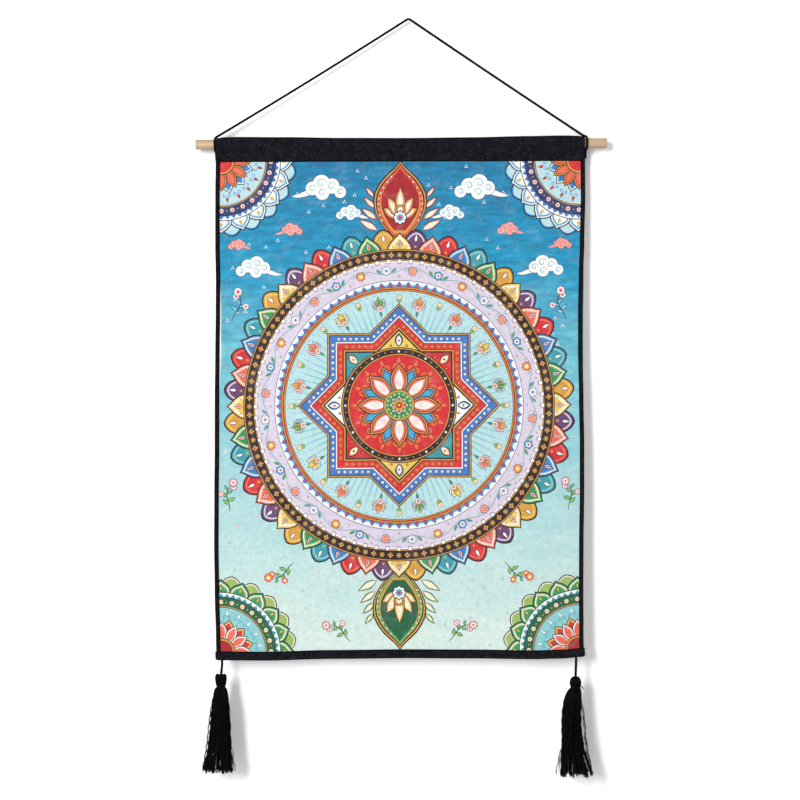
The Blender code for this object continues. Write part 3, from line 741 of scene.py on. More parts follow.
def thread_material(colours):
    """Rayon embroidery thread, dyed black: smooth filaments with a silky gloss, each thread a little different."""
    made, tree, shader = surface("Rayon thread, black", colours.thread, 0.36, Specular_IOR_Level=0.07)
    each = node(tree, "NewGeometry").outputs["Random Per Island"]
    dye = {0: each, 6: shade(colours.thread, 1), 7: shade(colours.thread, 4)}
    finish_surface(tree, shader, dye)
    gloss = node(tree, "MapRange", {"Value": each, "To Min": 0.28, "To Max": 0.52})
    tree.links.new(gloss.outputs[0], shader.inputs["Roughness"])
    return made


def sewing_material(colours):
    """Polyester sewing thread, black: thin, spun, with less gloss than rayon."""
    return surface("Polyester sewing thread, black", colours.thread, 0.6, Specular_IOR_Level=0.1)[0]


# Meshes of the pieces.

SHARP_ANGLE = radians(40)
ROD_SIDES = 72
# Columns lie closer together over this much of each end, where the strips pass over the bindings.
CLOSE_ENDS = 12 * MM
CLOSE_SPACING = 0.9 * MM
COLUMN_SPACING = 3 * MM
ROW_SPACING = 4 * MM
GIRTH_SPACING = 1.1 * MM
ARC_STEPS = 12
# A strip's cloth fills this part of its solid's layer, and is sewn down this close to what it covers.
SKIN = 0.4 * MM
SEWN_GAP = 0.06 * MM
SEWN_EDGE = 2.0 * MM
SEWN_RISE = 2.2 * MM
STITCH_INSET = 1.5 * MM
SEWING_START = 3 * MM
SEWING_SPACING = 4 * MM
CORNER_LIFT = 1.5 * MM
CORNER_REACH = 3 * MM


def closed_mesh(name, points, faces, maps, material):
    """A closed body with its faces outwards, smooth but for sharp edges, and its map in metres."""
    mesh = bpy.data.meshes.new(name)
    mesh.from_pydata([tuple(point) for point in points], [], faces)
    if maps:
        layer = mesh.uv_layers.new(name="map")
        layer.uv.foreach_set("vector", [value for face in maps for corner in face for value in corner])
    body = bmesh.new()
    body.from_mesh(mesh)
    bmesh.ops.recalc_face_normals(body, faces=body.faces)
    if body.calc_volume(signed=True) < 0:
        bmesh.ops.reverse_faces(body, faces=body.faces)
    body.to_mesh(mesh)
    body.free()
    mesh.shade_smooth()
    mesh.set_sharp_from_angle(angle=SHARP_ANGLE)
    mesh.materials.append(material)
    return mesh


def sheet_mesh(name, sections, lengths, material):
    """A sheet from sections, each a pair of equal rows of points: the outer and the inner face."""
    count = len(sections[0][0])
    points = [point for outer, inner in sections for point in (*outer, *inner)]
    middle = sections[len(sections) // 2][0]
    girth = [0.0]
    for a, b in zip(middle, middle[1:]):
        girth.append(girth[-1] + (b - a).length)
    inside = girth[-1] + 0.01
    rim = 2 * inside
    thick = (sections[0][0][0] - sections[0][1][0]).length
    faces, maps = [], []

    def put(face, *corners):
        faces.append(face)
        maps.append(corners)

    for row in range(len(sections) - 1):
        near, far = row * 2 * count, (row + 1) * 2 * count
        here, there = lengths[row], lengths[row + 1]
        for i in range(count - 1):
            a, b = girth[i], girth[i + 1]
            face = (near + i, near + i + 1, far + i + 1, far + i)
            put(face, (here, a), (here, b), (there, b), (there, a))
            j = count + i
            a, b = a + inside, b + inside
            face = (near + j, far + j, far + j + 1, near + j + 1)
            put(face, (here, a), (there, a), (there, b), (here, b))
        for place, i in enumerate((0, count - 1)):
            a = rim + place * 0.003
            face = (near + i, far + i, far + count + i, near + count + i)
            put(face, (here, a), (there, a), (there, a + thick), (here, a + thick))
    for place, start in enumerate((0, (len(sections) - 1) * 2 * count)):
        a = rim + 0.01 + place * 0.003
        for i in range(count - 1):
            x, y = girth[i], girth[i + 1]
            face = (start + i, start + i + 1, start + count + i + 1, start + count + i)
            put(face, (x, a), (y, a), (y, a + thick), (x, a + thick))
    return closed_mesh(name, points, faces, maps, material)


def tube_mesh(name, rings, first, last, material):
    """A closed body through rings of points, its ends closed at two poles."""
    sides = len(rings[0])
    points = [first, *(point for ring in rings for point in ring), last]
    faces = []
    for i in range(sides):
        j = (i + 1) % sides
        faces.append((0, 1 + i, 1 + j))
        for ring in range(len(rings) - 1):
            low = 1 + ring * sides
            faces.append((low + i, low + j, low + sides + j, low + sides + i))
        end = 1 + (len(rings) - 1) * sides
        faces.append((len(points) - 1, end + j, end + i))
    return closed_mesh(name, points, faces, None, material)


def rod_mesh(material):
    """The dowel, turned along its own axis, with softly broken edges."""
    ends = [(0, share * (ROD_RADIUS - ROD_CHAMFER)) for share in (0.35, 0.7, 1.0)]
    for step in range(1, 7):
        angle = pi / 2 * step / 6
        reach = ROD_CHAMFER * (1 - cos(angle))
        ends.append((reach, ROD_RADIUS - ROD_CHAMFER + ROD_CHAMFER * sin(angle)))
    between = [(ROD_LENGTH * i / 20, ROD_RADIUS) for i in range(1, 20)]
    profile = ends + between + [(ROD_LENGTH - x, radius) for x, radius in reversed(ends)]
    tilt = atan(ROD_RISE)
    along = Vector((cos(tilt), 0, sin(tilt)))
    up = Vector((-along.z, 0, along.x))
    start = Vector((ROD_CENTRE_X, 0, rod_axis(ROD_CENTRE_X))) - along * (ROD_LENGTH / 2)
    rings = []
    for x, radius in profile:
        turns = [tau * i / ROD_SIDES for i in range(ROD_SIDES)]
        centre = start + along * x
        ring = [centre + up * (radius * cos(a)) + Vector((0, radius * sin(a), 0)) for a in turns]
        rings.append(ring)
    return tube_mesh("rod_dowel", rings, start, start + along * ROD_LENGTH, material)


def steps_between(start, end, spacing):
    count = max(1, round((end - start) / spacing))
    return [start + (end - start) * i / count for i in range(count + 1)]


def columns():
    """Distances across the cloth, closer together where the heading and the band pass over the bindings."""
    edge = steps_between(0, CLOSE_ENDS, CLOSE_SPACING)
    middle = steps_between(CLOSE_ENDS, CLOTH_WIDTH - CLOSE_ENDS, COLUMN_SPACING)
    return edge[:-1] + middle + [CLOTH_WIDTH - place for place in reversed(edge[:-1])]


def densities(row):
    """How many steps to take between each two points of a section's row."""
    return [max(1, ceil(dist(a, b) / GIRTH_SPACING)) for a, b in zip(row, row[1:])]


def dense(rows, counts):
    """A section's rows with points between, the same number in each row."""
    found = []
    for row in rows:
        made = []
        for a, b, steps in zip(row, row[1:], counts):
            made += [tuple(p + (q - p) * step / steps for p, q in zip(a, b)) for step in range(steps)]
        found.append(made + [row[-1]])
    return found


def sewn_at(along, canvas, cloth):
    """Half the room under the heading's and the band's sewn edge: the picture, or a binding over it."""
    picture = canvas / 2 + SEWN_GAP
    bound = picture + cloth + SEWN_GAP
    from_end = min(along, CLOTH_WIDTH - along)
    return bound + (picture - bound) * ramp(OVER_BINDING - 1 * MM, PAST_BINDING - 1 * MM, from_end)


def fold(reach, half_gap, sewn, cloth):
    """A strip folded round an edge, as (distance in from the fold, offset) pairs of its two faces."""
    centre = half_gap + LAYER
    rows = []
    for extra in (SKIN + cloth, SKIN):
        radius = half_gap + extra
        edge = sewn + extra - SKIN
        row = [(reach, -edge), (reach - SEWN_EDGE, -edge), (reach - SEWN_EDGE - SEWN_RISE, -radius)]
        back = [(inward, -off) for inward, off in reversed(row)]
        for step in range(ARC_STEPS + 1):
            angle = pi * (step / ARC_STEPS - 0.5)
            row.append((centre - radius * cos(angle), radius * sin(angle)))
        rows.append(row + back)
    return rows


def sleeve(seam, half_gap, sewn, slack, cloth):
    """The heading's section round the rod, as (drop, offset) pairs of its outer and inner face."""
    rows = []
    for extra in (SKIN + cloth, SKIN):
        flap = half_gap + extra
        edge = sewn + extra - SKIN
        radius = ROD_RADIUS + CLEARANCE + extra
        reach = hypot(SLEEVE_JOIN, flap)
        last = pi - atan2(flap, SLEEVE_JOIN) - acos(radius / reach)
        row = [(seam, -edge), (seam - SEWN_EDGE, -edge), (seam - 2 * SEWN_EDGE, -flap), (SLEEVE_JOIN, -flap)]
        back = [(drop, -off) for drop, off in reversed(row)]
        for step in range(2 * ARC_STEPS + 1):
            angle = last * (step / ARC_STEPS - 1)
            lift = slack * max(cos(angle), 0)
            row.append((-radius * cos(angle) - lift, radius * sin(angle)))
        rows.append(row + back)
    return rows


def crease(along, drop, height):
    """Small uneven waves of sewn cloth, in metres."""
    slow = noise.noise(Vector((along / (22 * MM), drop / (16 * MM), 3.0)))
    fast = noise.noise(Vector((along / (7 * MM), drop / (30 * MM), 9.0)))
    return height * (slow + 0.45 * fast)


def heading_mesh(sizes, material):
    sections, lengths = [], columns()
    plain = sleeve(HEADING_SEAM_LEFT, half_gap_at(CLOTH_WIDTH / 2), SEWN_GAP, 0, sizes.cloth)
    counts = densities(plain[0])
    for along in lengths:
        across = along / CLOTH_WIDTH
        seam = HEADING_SEAM_LEFT + (HEADING_SEAM_RIGHT - HEADING_SEAM_LEFT) * across
        slack = table(SLEEVE_SLACK, across) * MM
        sewn = sewn_at(along, sizes.canvas, sizes.cloth)
        rows = dense(sleeve(seam, half_gap_at(along), sewn, slack, sizes.cloth), counts)
        section = []
        for row in rows:
            places = []
            for i, (drop, off) in enumerate(row):
                # Creases die out where the cloth lies on the rod and where it is sewn.
                free = ramp(2 * MM, SLEEVE_JOIN, drop) * (1 - 0.7 * ramp(seam - 4 * MM, seam, drop))
                side = -1 if i < len(row) / 2 else 1
                places.append(hang(along, drop, off + side * free * crease(along, drop, 0.2 * MM)))
            section.append(places)
        sections.append(section)
    return sheet_mesh("heading_cloth", sections, lengths, material)


def binding_mesh(name, side, sizes, material):
    """One side binding, folded round the picture's edge, from inside the heading to inside the band."""
    edge = 0 if side < 0 else CLOTH_WIDTH
    rows = fold(BINDING_WIDTH, LAYER / 2 + CLEARANCE, sizes.canvas / 2 + SEWN_GAP, sizes.cloth)
    rows = dense(rows, densities(rows[0]))
    lengths = steps_between(PICTURE_TOP, PICTURE_BOTTOM, ROW_SPACING)
    sections = []
    for drop in lengths:
        wave = crease(drop, side * 0.3, 0.12 * MM)
        sections.append([[hang(edge - side * inward, drop, off + wave) for inward, off in row] for row in rows])
    return sheet_mesh(name, sections, lengths, material)


def band_mesh(sizes, material):
    sections = []
    end, middle = CLOTH_WIDTH + BAND_OVERHANG, CLOTH_WIDTH + BAND_OVERHANG / 2
    lengths = [-BAND_OVERHANG, -BAND_OVERHANG / 2, *columns(), middle, end]
    counts = densities(fold(BAND_HEIGHT, half_gap_at(CLOTH_WIDTH / 2), SEWN_GAP, sizes.cloth)[0])
    for along in lengths:
        inside = min(max(along, 0), CLOTH_WIDTH)
        sewn = sewn_at(inside, sizes.canvas, sizes.cloth)
        rows = dense(fold(BAND_HEIGHT, half_gap_at(inside), sewn, sizes.cloth), counts)
        wave = crease(along, 0.7, 0.1 * MM)
        # The folded corners are pushed in and round: the fold rises over the last few millimetres.
        near = ramp(CORNER_REACH, 0, along + BAND_OVERHANG) + ramp(CORNER_REACH, 0, end - along)
        lift = CORNER_LIFT * near ** 2
        section = []
        for row in rows:
            places = [hang(along, CLOTH_DROP - up - lift * ramp(BAND_HEIGHT, 0, up), off + wave) for up, off in row]
            section.append(places)
        sections.append(section)
    return sheet_mesh("bottom_band_cloth", sections, [place + BAND_OVERHANG for place in lengths], material)


# The print: shapes in mm from the picture's middle, painted over each other in order.

MERGE = 0.002
PRINT_GRID = 8.0

LOTUS = ((0, 0.30), (0.16, 0.68), (0.36, 0.97), (0.58, 0.97), (0.78, 0.62), (0.9, 0.24), (1, 0))
ROUND = ((0, 0.42), (0.2, 0.82), (0.45, 1.0), (0.7, 0.9), (0.88, 0.6), (0.97, 0.26), (1, 0.0))
LEAF = ((0, 0.0), (0.2, 0.7), (0.46, 1.0), (0.76, 0.55), (1, 0))
DROP = ((0, 0.0), (0.12, 0.7), (0.36, 1.0), (0.66, 0.5), (1, 0))


def finer(profile):
    """The profile with a point between each two of its rows, on a smooth curve through them."""
    rows = (profile[0], *profile, profile[-1])
    found = []
    for before, low, high, after in zip(rows, rows[1:], rows[2:], rows[3:]):
        found += [low, tuple((9 * (b + c) - a - d) / 16 for a, b, c, d in zip(before, low, high, after))]
    return (*found, profile[-1])


def placed(profile, x, y, turn, length, half_width):
    """A shape of that profile, its foot at x, y and pointing along turn."""
    if half_width > 6:
        profile = finer(profile)
    right = [(share * length, width * half_width) for share, width in profile]
    left = [(up, -width) for up, width in reversed(right) if width > 0]
    sine, cosine = sin(tau * turn), cos(tau * turn)
    return [(x + w * cosine + u * sine, y - w * sine + u * cosine) for u, w in right + left]


def spot(radius, turn, x=0.0, y=0.0):
    return x + radius * sin(tau * turn), y + radius * cos(tau * turn)


class Print:
    """The design's shapes, each an ink and its outline, in the order in which they are painted."""

    def __init__(self):
        self.shapes = []

    def add(self, ink, points):
        self.shapes.append((ink, points))

    def discs(self, x, y, *layers):
        """Round shapes over each other: the ink and the radius of each."""
        for ink, radius in layers:
            sides = max(7, round(8 * sqrt(radius)))
            turns = [tau * i / sides for i in range(sides)]
            self.add(ink, [(x + radius * sin(turn), y + radius * cos(turn)) for turn in turns])

    def nested(self, inks, profile, x, y, turn, length, half_width, step):
        """Copies of a shape inside each other, each step mm in from the last."""
        for level, ink in enumerate(inks):
            inset = level * step
            if half_width - inset <= 0.2:
                break
            foot = spot(inset * 0.7, turn, x, y)
            self.add(ink, placed(profile, *foot, turn, length - inset * 2.1, half_width - inset))

    def lobed(self, ink, x, y, radius, lobes, depth, turn):
        """A round shape with lobes, each lobe drawn with four points."""
        points = []
        for i in range(4 * lobes):
            share = i / (4 * lobes)
            lobe = abs(cos(pi * lobes * share))
            points.append(spot(radius * (1 - depth + depth * lobe), share + turn, x, y))
        self.add(ink, points)

    def stroke(self, ink, line, wide, taper=True):
        """A line of that width, thinner towards its ends."""
        left, right = [], []
        last = len(line) - 1
        for i, (x, y) in enumerate(line):
            ax, ay = line[max(i - 1, 0)]
            bx, by = line[min(i + 1, last)]
            dx, dy = bx - ax, by - ay
            long = hypot(dx, dy) or 1
            share = i / last
            half = wide / 2 * (sin(pi * (0.12 + 0.84 * share)) if taper else 1)
            left.append((x - dy / long * half, y + dx / long * half))
            right.append((x + dy / long * half, y - dx / long * half))
        self.add(ink, left + right[::-1])

    def flower(self, x, y, radius, petals, inks, turn):
        """A round flower: outline, petals, inner petals, heart."""
        outline, outer, inner, heart = inks
        self.lobed(outline, x, y, radius, petals, 0.24, turn)
        self.lobed(outer, x, y, radius * 0.86, petals, 0.24, turn)
        self.lobed(inner, x, y, radius * 0.55, petals, 0.3, turn)
        self.discs(x, y, (heart, radius * 0.24))

    def curl(self, ink, x, y, turn, size, wide, side, turns, steps):
        """A spiral that starts at x, y along turn and winds in."""
        line = []
        cx, cy = spot(size, turn + 0.25 * side, x, y)
        for i in range(steps + 1):
            share = i / steps
            radius = size * (1 - 0.86 * share)
            line.append(spot(radius, turn - 0.25 * side + side * turns * share, cx, cy))
        self.stroke(ink, line, wide)


# Inks of the front petals, and the light ink inside each ink's petal.
BRIGHT = ("yellow", "coral", "blue", "leaf")
LIGHT = {
    "yellow": "cream", "coral": "rose", "blue": "sky", "leaf": "moss", "red": "coral", "teal": "aqua", "plum": "lilac",
    "gold": "yellow",
}
# Flowers of the vine: outline, petals, inner petals, heart.
VINE_HEADS = (
    ("plum", "rose", "coral", "yellow"), ("navy", "sky", "white", "red"), ("crimson", "orange", "yellow", "white"),
    ("navy", "white", "lilac", "blue"),
)
# Scallops of the vine's ring: (distance out, shift, ink, radius).
SCALLOPS = ((154.6, 0, "plum", 2.5), (154.9, 0, "white", 2.0), (134.9, 0.5, "plum", 2.2), (134.6, 0.5, "white", 1.7))
# The star's bands, from outside in.
STAR_BANDS = (
    ("night", 110), ("gold", 108.8), ("navy", 107.2), ("blue", 105.6), ("white", 96.4), ("night", 94.8), ("red", 94.0),
    ("night", 84.8), ("gold", 84.0), ("night", 82.2),
)


def petal_ring(p, radius, length, half, count, inks, profile, offset, step, x=0, y=0):
    for i in range(count):
        turn = (i + offset) / count
        p.nested(inks[i % len(inks)], profile, *spot(radius, turn, x, y), turn, length, half, step)


def dots(p, ink, radius, size, count, offset=0.0):
    for i in range(count):
        p.discs(*spot(radius, (i + offset) / count), (ink, size))


def teeth(p, ink, low, high, count, offset=0.0, share=1.0, x=0, y=0):
    half = 0.5 * share / count
    for i in range(count):
        turn = (i + offset) / count
        p.add(ink, [spot(low, turn - half, x, y), spot(high, turn, x, y), spot(low, turn + half, x, y)])


def outer_petals(p):
    """Two rings of petals round the medallion, with drops and beads on them."""
    back = [("night", ink, LIGHT[ink], ink) for ink in ("plum", "red", "teal", "gold")]
    petal_ring(p, 150, 40.5, 14, 32, back, ROUND, 0.5, 1.3)
    petal_ring(p, 176.5, 9.5, 2.2, 32, [("night", "white")], DROP, 0.5, 0.7)
    front = [("night", ink, "cream", LIGHT[ink], ink) for ink in BRIGHT]
    petal_ring(p, 148, 38.5, 13.6, 32, front, LOTUS, 0.0, 1.25)
    for i in range(32):
        turn = i / 32
        p.nested(("night", "white", "red"), DROP, *spot(169.5, turn), turn, 9.5, 2.6, 0.8)
        for side in (-1, 1):
            p.discs(*spot(171, turn + side * 0.0072), ("night", 0.9), ("yellow", 0.55))
        p.discs(*spot(171.5, turn + 0.5 / 32), ("yellow", 1.15), ("night", 0.55))


def bead_band(p):
    """A dark ring with beads and small stars in turn."""
    p.discs(0, 0, ("night", 168.4), ("gold", 167.6), ("night", 166.7))
    for i in range(56):
        turn, half = i / 56, 0.5 / 56
        p.discs(*spot(161.8, turn), ("gold", 2.5), ("night", 1.8), ("yellow", 1.15))
        for out in (-2.6, 2.6):
            p.discs(*spot(161.8 + out, turn + half), ("gold", 0.6))
        middle = spot(161.8, turn + half)
        p.add("gold", [spot(2.0 if k % 2 else 3.4, k / 8 + turn + half, *middle) for k in range(8)])
        p.discs(*middle, ("night", 1.05), ("coral" if i % 2 else "sky", 0.7))
    p.discs(0, 0, ("gold", 156.9), ("night", 156.0))


def vine_band(p):
    """A pale ring with scalloped edges, on which a vine winds between flowers and leaves."""
    p.discs(0, 0, ("white", 155.4), ("lilac", 154.2))
    for i in range(80):
        for radius, shift, ink, wide in SCALLOPS:
            p.discs(*spot(radius, (i + shift) / 80), (ink, wide))
    count, middle, swing = 32, 144.8, 4.0
    shares = [k / (count * 6) for k in range(count * 6)]
    for ink, grow in (("sage", 0.75), ("lilac", -0.15)):
        waves = [middle + grow + swing * sin(tau * share * count / 2) for share in shares]
        p.add(ink, [spot(wave, share) for wave, share in zip(waves, shares)])
    for i in range(count):
        side = -1 if i % 2 else 1
        turn = (i + 0.5) / count
        for lean in (-0.13, 0.13):
            aim = turn + (0 if side < 0 else 0.5) + lean
            foot = spot(middle + side * 2.5, turn + lean * 0.045)
            p.nested(("sage", "leaf" if i % 4 < 2 else "teal"), LEAF, *foot, aim, 8.6, 2.0, 0.5)
        for way in (-1, 1):
            foot = spot(middle - side * 1.5, turn + way * 0.0078)
            p.curl("sage", *foot, turn + way * 0.25, 1.9, 0.75, -side * way, 1.1, 8)
        p.flower(*spot(middle - side * 0.4, turn), 5.3, 6 if i % 2 else 8, VINE_HEADS[i % 4], turn)
        p.discs(*spot(middle - side * 6.2, i / count), ("plum", 1.0), ("yellow", 0.6))


def saw_band(p):
    """A ring of pointed teeth between thin rings."""
    p.discs(0, 0, ("night", 134.6), ("white", 134.0))
    teeth(p, "blue", 127.6, 133.4, 84)
    teeth(p, "red", 127.6, 130.4, 84, 0.0, 0.5)
    teeth(p, "sky", 127.6, 130.6, 84, 0.5, 0.55)
    p.discs(0, 0, ("night", 127.6), ("gold", 127.0), ("crimson", 125.9), ("gold", 124.4))


def palmettes(p):
    """Fans of petals and small flowers in turn, between the saw band and the star."""
    p.discs(0, 0, ("night", 123.4), ("pale", 122.8))
    teeth(p, "aqua", 78, 122.6, 96, 0.0, 0.6)
    dots(p, "teal", 120.4, 0.7, 96, 0.5)
    for i in range(16):
        turn = (i + 0.5) / 16
        body = ("orange", "coral", "yellow", "leaf")[i % 4]
        for lean, reach in ((-0.15, 10), (0.15, 10), (-0.08, 12.4), (0.08, 12.4), (0, 14)):
            inks = ("navy", "white" if lean else "yellow", body)
            p.nested(inks, LOTUS, *spot(105.5, turn), turn + lean, reach, 3.3, 0.65)
        for side in (-1, 1):
            for ink, wide in (("navy", 1.3), ("gold", 0.7)):
                p.curl(ink, *spot(106, turn), turn + 0.25 * side, 3.1, wide, -side, 1.2, 10)
        p.flower(*spot(105.4, turn), 3.6, 5, ("navy", "white", "red", "yellow"), turn)
        p.nested(("navy", "leaf"), LEAF, *spot(103, turn), turn + 0.5, 6.4, 1.7, 0.5)
    for i in range(16):
        turn = i / 16
        p.flower(*spot(116.4, turn), 3.3, 8, ("navy", "yellow", "white", "red"), turn)
        for side in (-1, 1):
            foot = spot(114.6, turn + side * 0.004)
            p.nested(("deep_leaf", "moss"), LEAF, *foot, turn + 0.5 + side * 0.1, 6.0, 1.5, 0.45)


def notch(radius):
    """How far from the middle two squares of that half-diagonal cross, turned an eighth on each other."""
    return radius * cos(pi / 4) / cos(pi / 8)


def octagram(radius):
    """The outline of two such squares."""
    return [spot(notch(radius) if k % 2 else radius, k / 16) for k in range(16)]


def edge_spots(radius, tip, count, gaps):
    """Places along the two edges of an octagram's point: the number of each, the way along the edge, x and y."""
    found = []
    for side in (-1, 1):
        (ax, ay), (bx, by) = spot(radius, tip), spot(notch(radius), tip + side / 16)
        aim = atan2(bx - ax, by - ay) / tau
        found += [(k, aim, ax + (bx - ax) * k / gaps, ay + (by - ay) * k / gaps) for k in range(1, count + 1)]
    return found


def star(p):
    """An eight-pointed star with beads and leaves along its bands, and a field of colour in each point."""
    for ink, radius in STAR_BANDS:
        p.add(ink, octagram(radius))
    for i in range(8):
        for k, _, x, y in edge_spots(101.0, i / 8, 6, 6.6):
            p.discs(x, y, ("navy", 2.0), ("white", 1.45), ("coral" if k % 2 else "yellow", 0.75))
        for _, aim, x, y in edge_spots(89.4, i / 8, 5, 5.5):
            p.nested(("gold", "crimson"), LEAF, *spot(-2.6, aim, x, y), aim, 5.2, 1.7, 0.55)
            p.discs(x, y, ("yellow", 0.6))
    inner = octagram(81.4)
    for i in range(8):
        turn, field = i / 8, ("yellow", "red", "white", "teal")[i % 4]
        tip = [inner[2 * i - 1], inner[2 * i], inner[2 * i + 1]]
        p.add("night", tip)
        across, up = (sum(values) / 3 for values in zip(*tip))
        p.add(field, [(across + (x - across) * 0.9, up + (y - up) * 0.9) for x, y in tip])
        inks = ("night", "blue" if field in ("white", "yellow") else "gold", "cream")
        p.nested(inks, LOTUS, *spot(63.5, turn), turn, 14.5, 4.6, 1.0)
        p.discs(*spot(69.5, turn), ("night" if field == "red" else "red", 1.2))
        for side in (-1, 1):
            p.discs(*spot(64.6, turn + side * 0.021), ("night", 1.5), ("gold", 1.0))


def heart(p):
    """The star's middle: a ring of beads, curls and drops, and a flower with two rings of eight petals."""
    p.discs(0, 0, ("night", 62.6), ("gold", 61.6), ("night", 60.6))
    for i in range(48):
        p.discs(*spot(57.9, i / 48), ("gold", 0.8) if i % 4 else ("white", 1.25))
    p.discs(0, 0, ("gold", 55.2), ("crimson", 54.2), ("red", 53.4))
    for i in range(16):
        turn = i / 16
        for side in (-1, 1):
            p.curl("gold", *spot(42, turn), turn + 0.02 * side, 3.4, 1.0, side, 1.35, 12)
        p.nested(("gold", "coral"), DROP, *spot(45.4, turn), turn, 6.6, 1.7, 0.5)
    petal_ring(p, 14, 31.0, 8.6, 8, [("night", "gold", "navy", "blue", "sky")], LOTUS, 0.5, 1.0)
    petal_ring(p, 12, 34.0, 9.8, 8, [("night", "gold", "crimson", "coral", "rose", "white")], LOTUS, 0.0, 1.15)
    for i in range(8):
        for lean in (-0.018, 0, 0.018):
            a, b = spot(20, i / 8 + lean * 0.4), spot(33 - abs(lean) * 200, i / 8 + lean * 0.9)
            p.stroke("coral", [a, ((a[0] + b[0]) / 2, (a[1] + b[1]) / 2), b], 0.6)
    p.discs(0, 0, ("night", 17.2), ("gold", 16.4), ("leaf", 14.6))
    dots(p, "yellow", 12.4, 1.15, 16)
    petal_ring(p, 2, 8.6, 2.5, 8, [("night", "white", "sky")], ROUND, 0.0, 0.6)
    petal_ring(p, 2, 7.2, 2.2, 8, [("night", "yellow", "orange")], ROUND, 0.5, 0.6)
    p.discs(0, 0, ("night", 3.3), ("red", 2.7), ("yellow", 1.3))


# Inks of the two upper and the two lower rosettes: petals (three), teeth, ring, flowers, inner ring, curls, drops,
# back petals, front petals and middle.
UPPER_ROSETTE = (
    ("white", "pale", "azure"), "blue", "navy", "coral", "pale", "blue", ("night", "red"),
    ("night", "white", "sky", "blue"), ("night", "gold", "crimson", "coral"), "red",
)
LOWER_ROSETTE = (
    ("leaf", "moss", "cream"), "teal", "deep_leaf", "yellow", "aqua", "teal", ("teal", "white"),
    ("night", "yellow", "orange", "red"), ("night", "white", "rose", "coral"), "crimson",
)


def corner(p, x, y, inks):
    """A rosette at the picture's corner, of which a quarter shows."""
    (first, second, third), saw, ring, petal, floor, curl, drop, back, front, middle = inks
    petal_ring(p, 62, 30, 13.5, 20, [("night", third, second)], ROUND, 0.5, 1.0, x, y)
    petal_ring(p, 60, 28, 12.6, 20, [("night", first, third, second, first)], LOTUS, 0.0, 1.3, x, y)
    petal_ring(p, 74, 6.5, 1.8, 20, [("night", "yellow")], DROP, 0.0, 0.6, x, y)
    p.discs(x, y, ("night", 72), ("white", 71))
    teeth(p, saw, 66, 70.4, 56, 0, 1, x, y)
    p.discs(x, y, ("night", 66), (ring, 65))
    for i in range(28):
        p.flower(*spot(59.8, i / 28, x, y), 3.0, 6, ("gold", "white", petal, "red"), i / 28)
        p.discs(*spot(59.8, (i + 0.5) / 28, x, y), ("gold", 0.9))
    p.discs(x, y, ("gold", 54.8), ("night", 53.8), (floor, 53))
    for i in range(20):
        turn = (i + 0.5) / 20
        for side in (-1, 1):
            p.curl(curl, *spot(41.5, turn, x, y), turn, 2.7, 0.9, side, 1.2, 9)
        p.nested(drop, DROP, *spot(44, turn, x, y), turn, 7, 1.9, 0.5)
    petal_ring(p, 16, 24, 7.6, 12, [back], LOTUS, 0.5, 1.1, x, y)
    petal_ring(p, 12, 24.5, 6.8, 12, [front], LOTUS, 0.0, 1.1, x, y)
    p.discs(x, y, ("night", 16), ("gold", 15), (middle, 13))


# Half widths at the beads along a pendant's edge.
PENDANT_BEADS = (19.5, 21.6, 23.0, 23.5, 23.0, 21.2, 18.0, 13.8, 9.6)


def pendant(p, up, field, body, light, petal):
    """A leaf-shaped pendant above or below the medallion, with leaves beside its foot and a fan of petals in it."""
    turn = 0.0 if up > 0 else 0.5
    for side in (-1, 1):
        for k in range(4):
            foot, aim = spot(190 + 12 * k, turn + side * 0.02), turn + side * (0.17 - 0.02 * k)
            p.nested(("night", light, "cream"), LEAF, *foot, aim, 24 - 3 * k, 4.6 - 0.5 * k, 0.9)
    p.nested(("night", "gold", "night", light, body, "gold"), LOTUS, 0, up * 180, turn, 84, 29, 1.4)
    p.nested((field,), LOTUS, 0, up * 180 + up * 8.2, turn, 66, 20.5, 1.4)
    for k, wide in enumerate(PENDANT_BEADS):
        share = 0.22 + 0.075 * k
        for side in (-1, 1):
            p.discs(side * wide, up * (180 + 84 * share * 0.93 + 2), ("cream", 0.9))
    for lean, reach in ((-0.17, 22), (0.17, 22), (-0.09, 27), (0.09, 27), (0, 34)):
        p.nested(("night", "gold", petal, "cream"), LOTUS, *spot(202, turn), turn + lean, reach, 6.0, 0.95)
    for side in (-1, 1):
        for ink, wide in (("night", 2.6), ("gold", 1.5)):
            p.curl(ink, *spot(203, turn), turn + 0.22 * side, 7.2, wide, -side, 1.3, 16)
    p.flower(*spot(202, turn), 8.0, 8, ("night", "white", "sky", "red"), turn)


# A spray's leaves: (share of the stem, lean, length). Its flowers: (share of the stem, lean, radius, distance out).
SPRAY_LEAVES = ((0.2, 0.16, 10), (0.34, -0.16, 10), (0.5, 0.14, 9), (0.62, -0.15, 8.5), (0.76, 0.12, 7))
SPRAY_FLOWERS = ((0.5, 0.19, 4.2, 8.5), (0.75, -0.17, 4.2, 8), (1.0, 0, 5.8, 0))


def spray(p, x, y, turn, heads, leaves, flip):
    """A small branch with three flowers."""
    shares = [k / 8 for k in range(9)]
    stem = [spot(36 * share, turn + 0.05 * flip * sin(share * 3.1), x, y) for share in shares]
    p.stroke(leaves[0], stem, 1.5)
    for share, lean, size in SPRAY_LEAVES:
        p.nested(leaves, LEAF, *stem[round(share * 8)], turn + lean * flip, size, size * 0.27, 0.6)
    for share, lean, size, out in SPRAY_FLOWERS:
        foot = stem[round(share * 8)]
        at = spot(out, turn + lean * flip, *foot)
        if out:
            p.stroke(leaves[0], [foot, at], 0.8, False)
        p.flower(*at, size, 6 if out else 8, heads, turn)


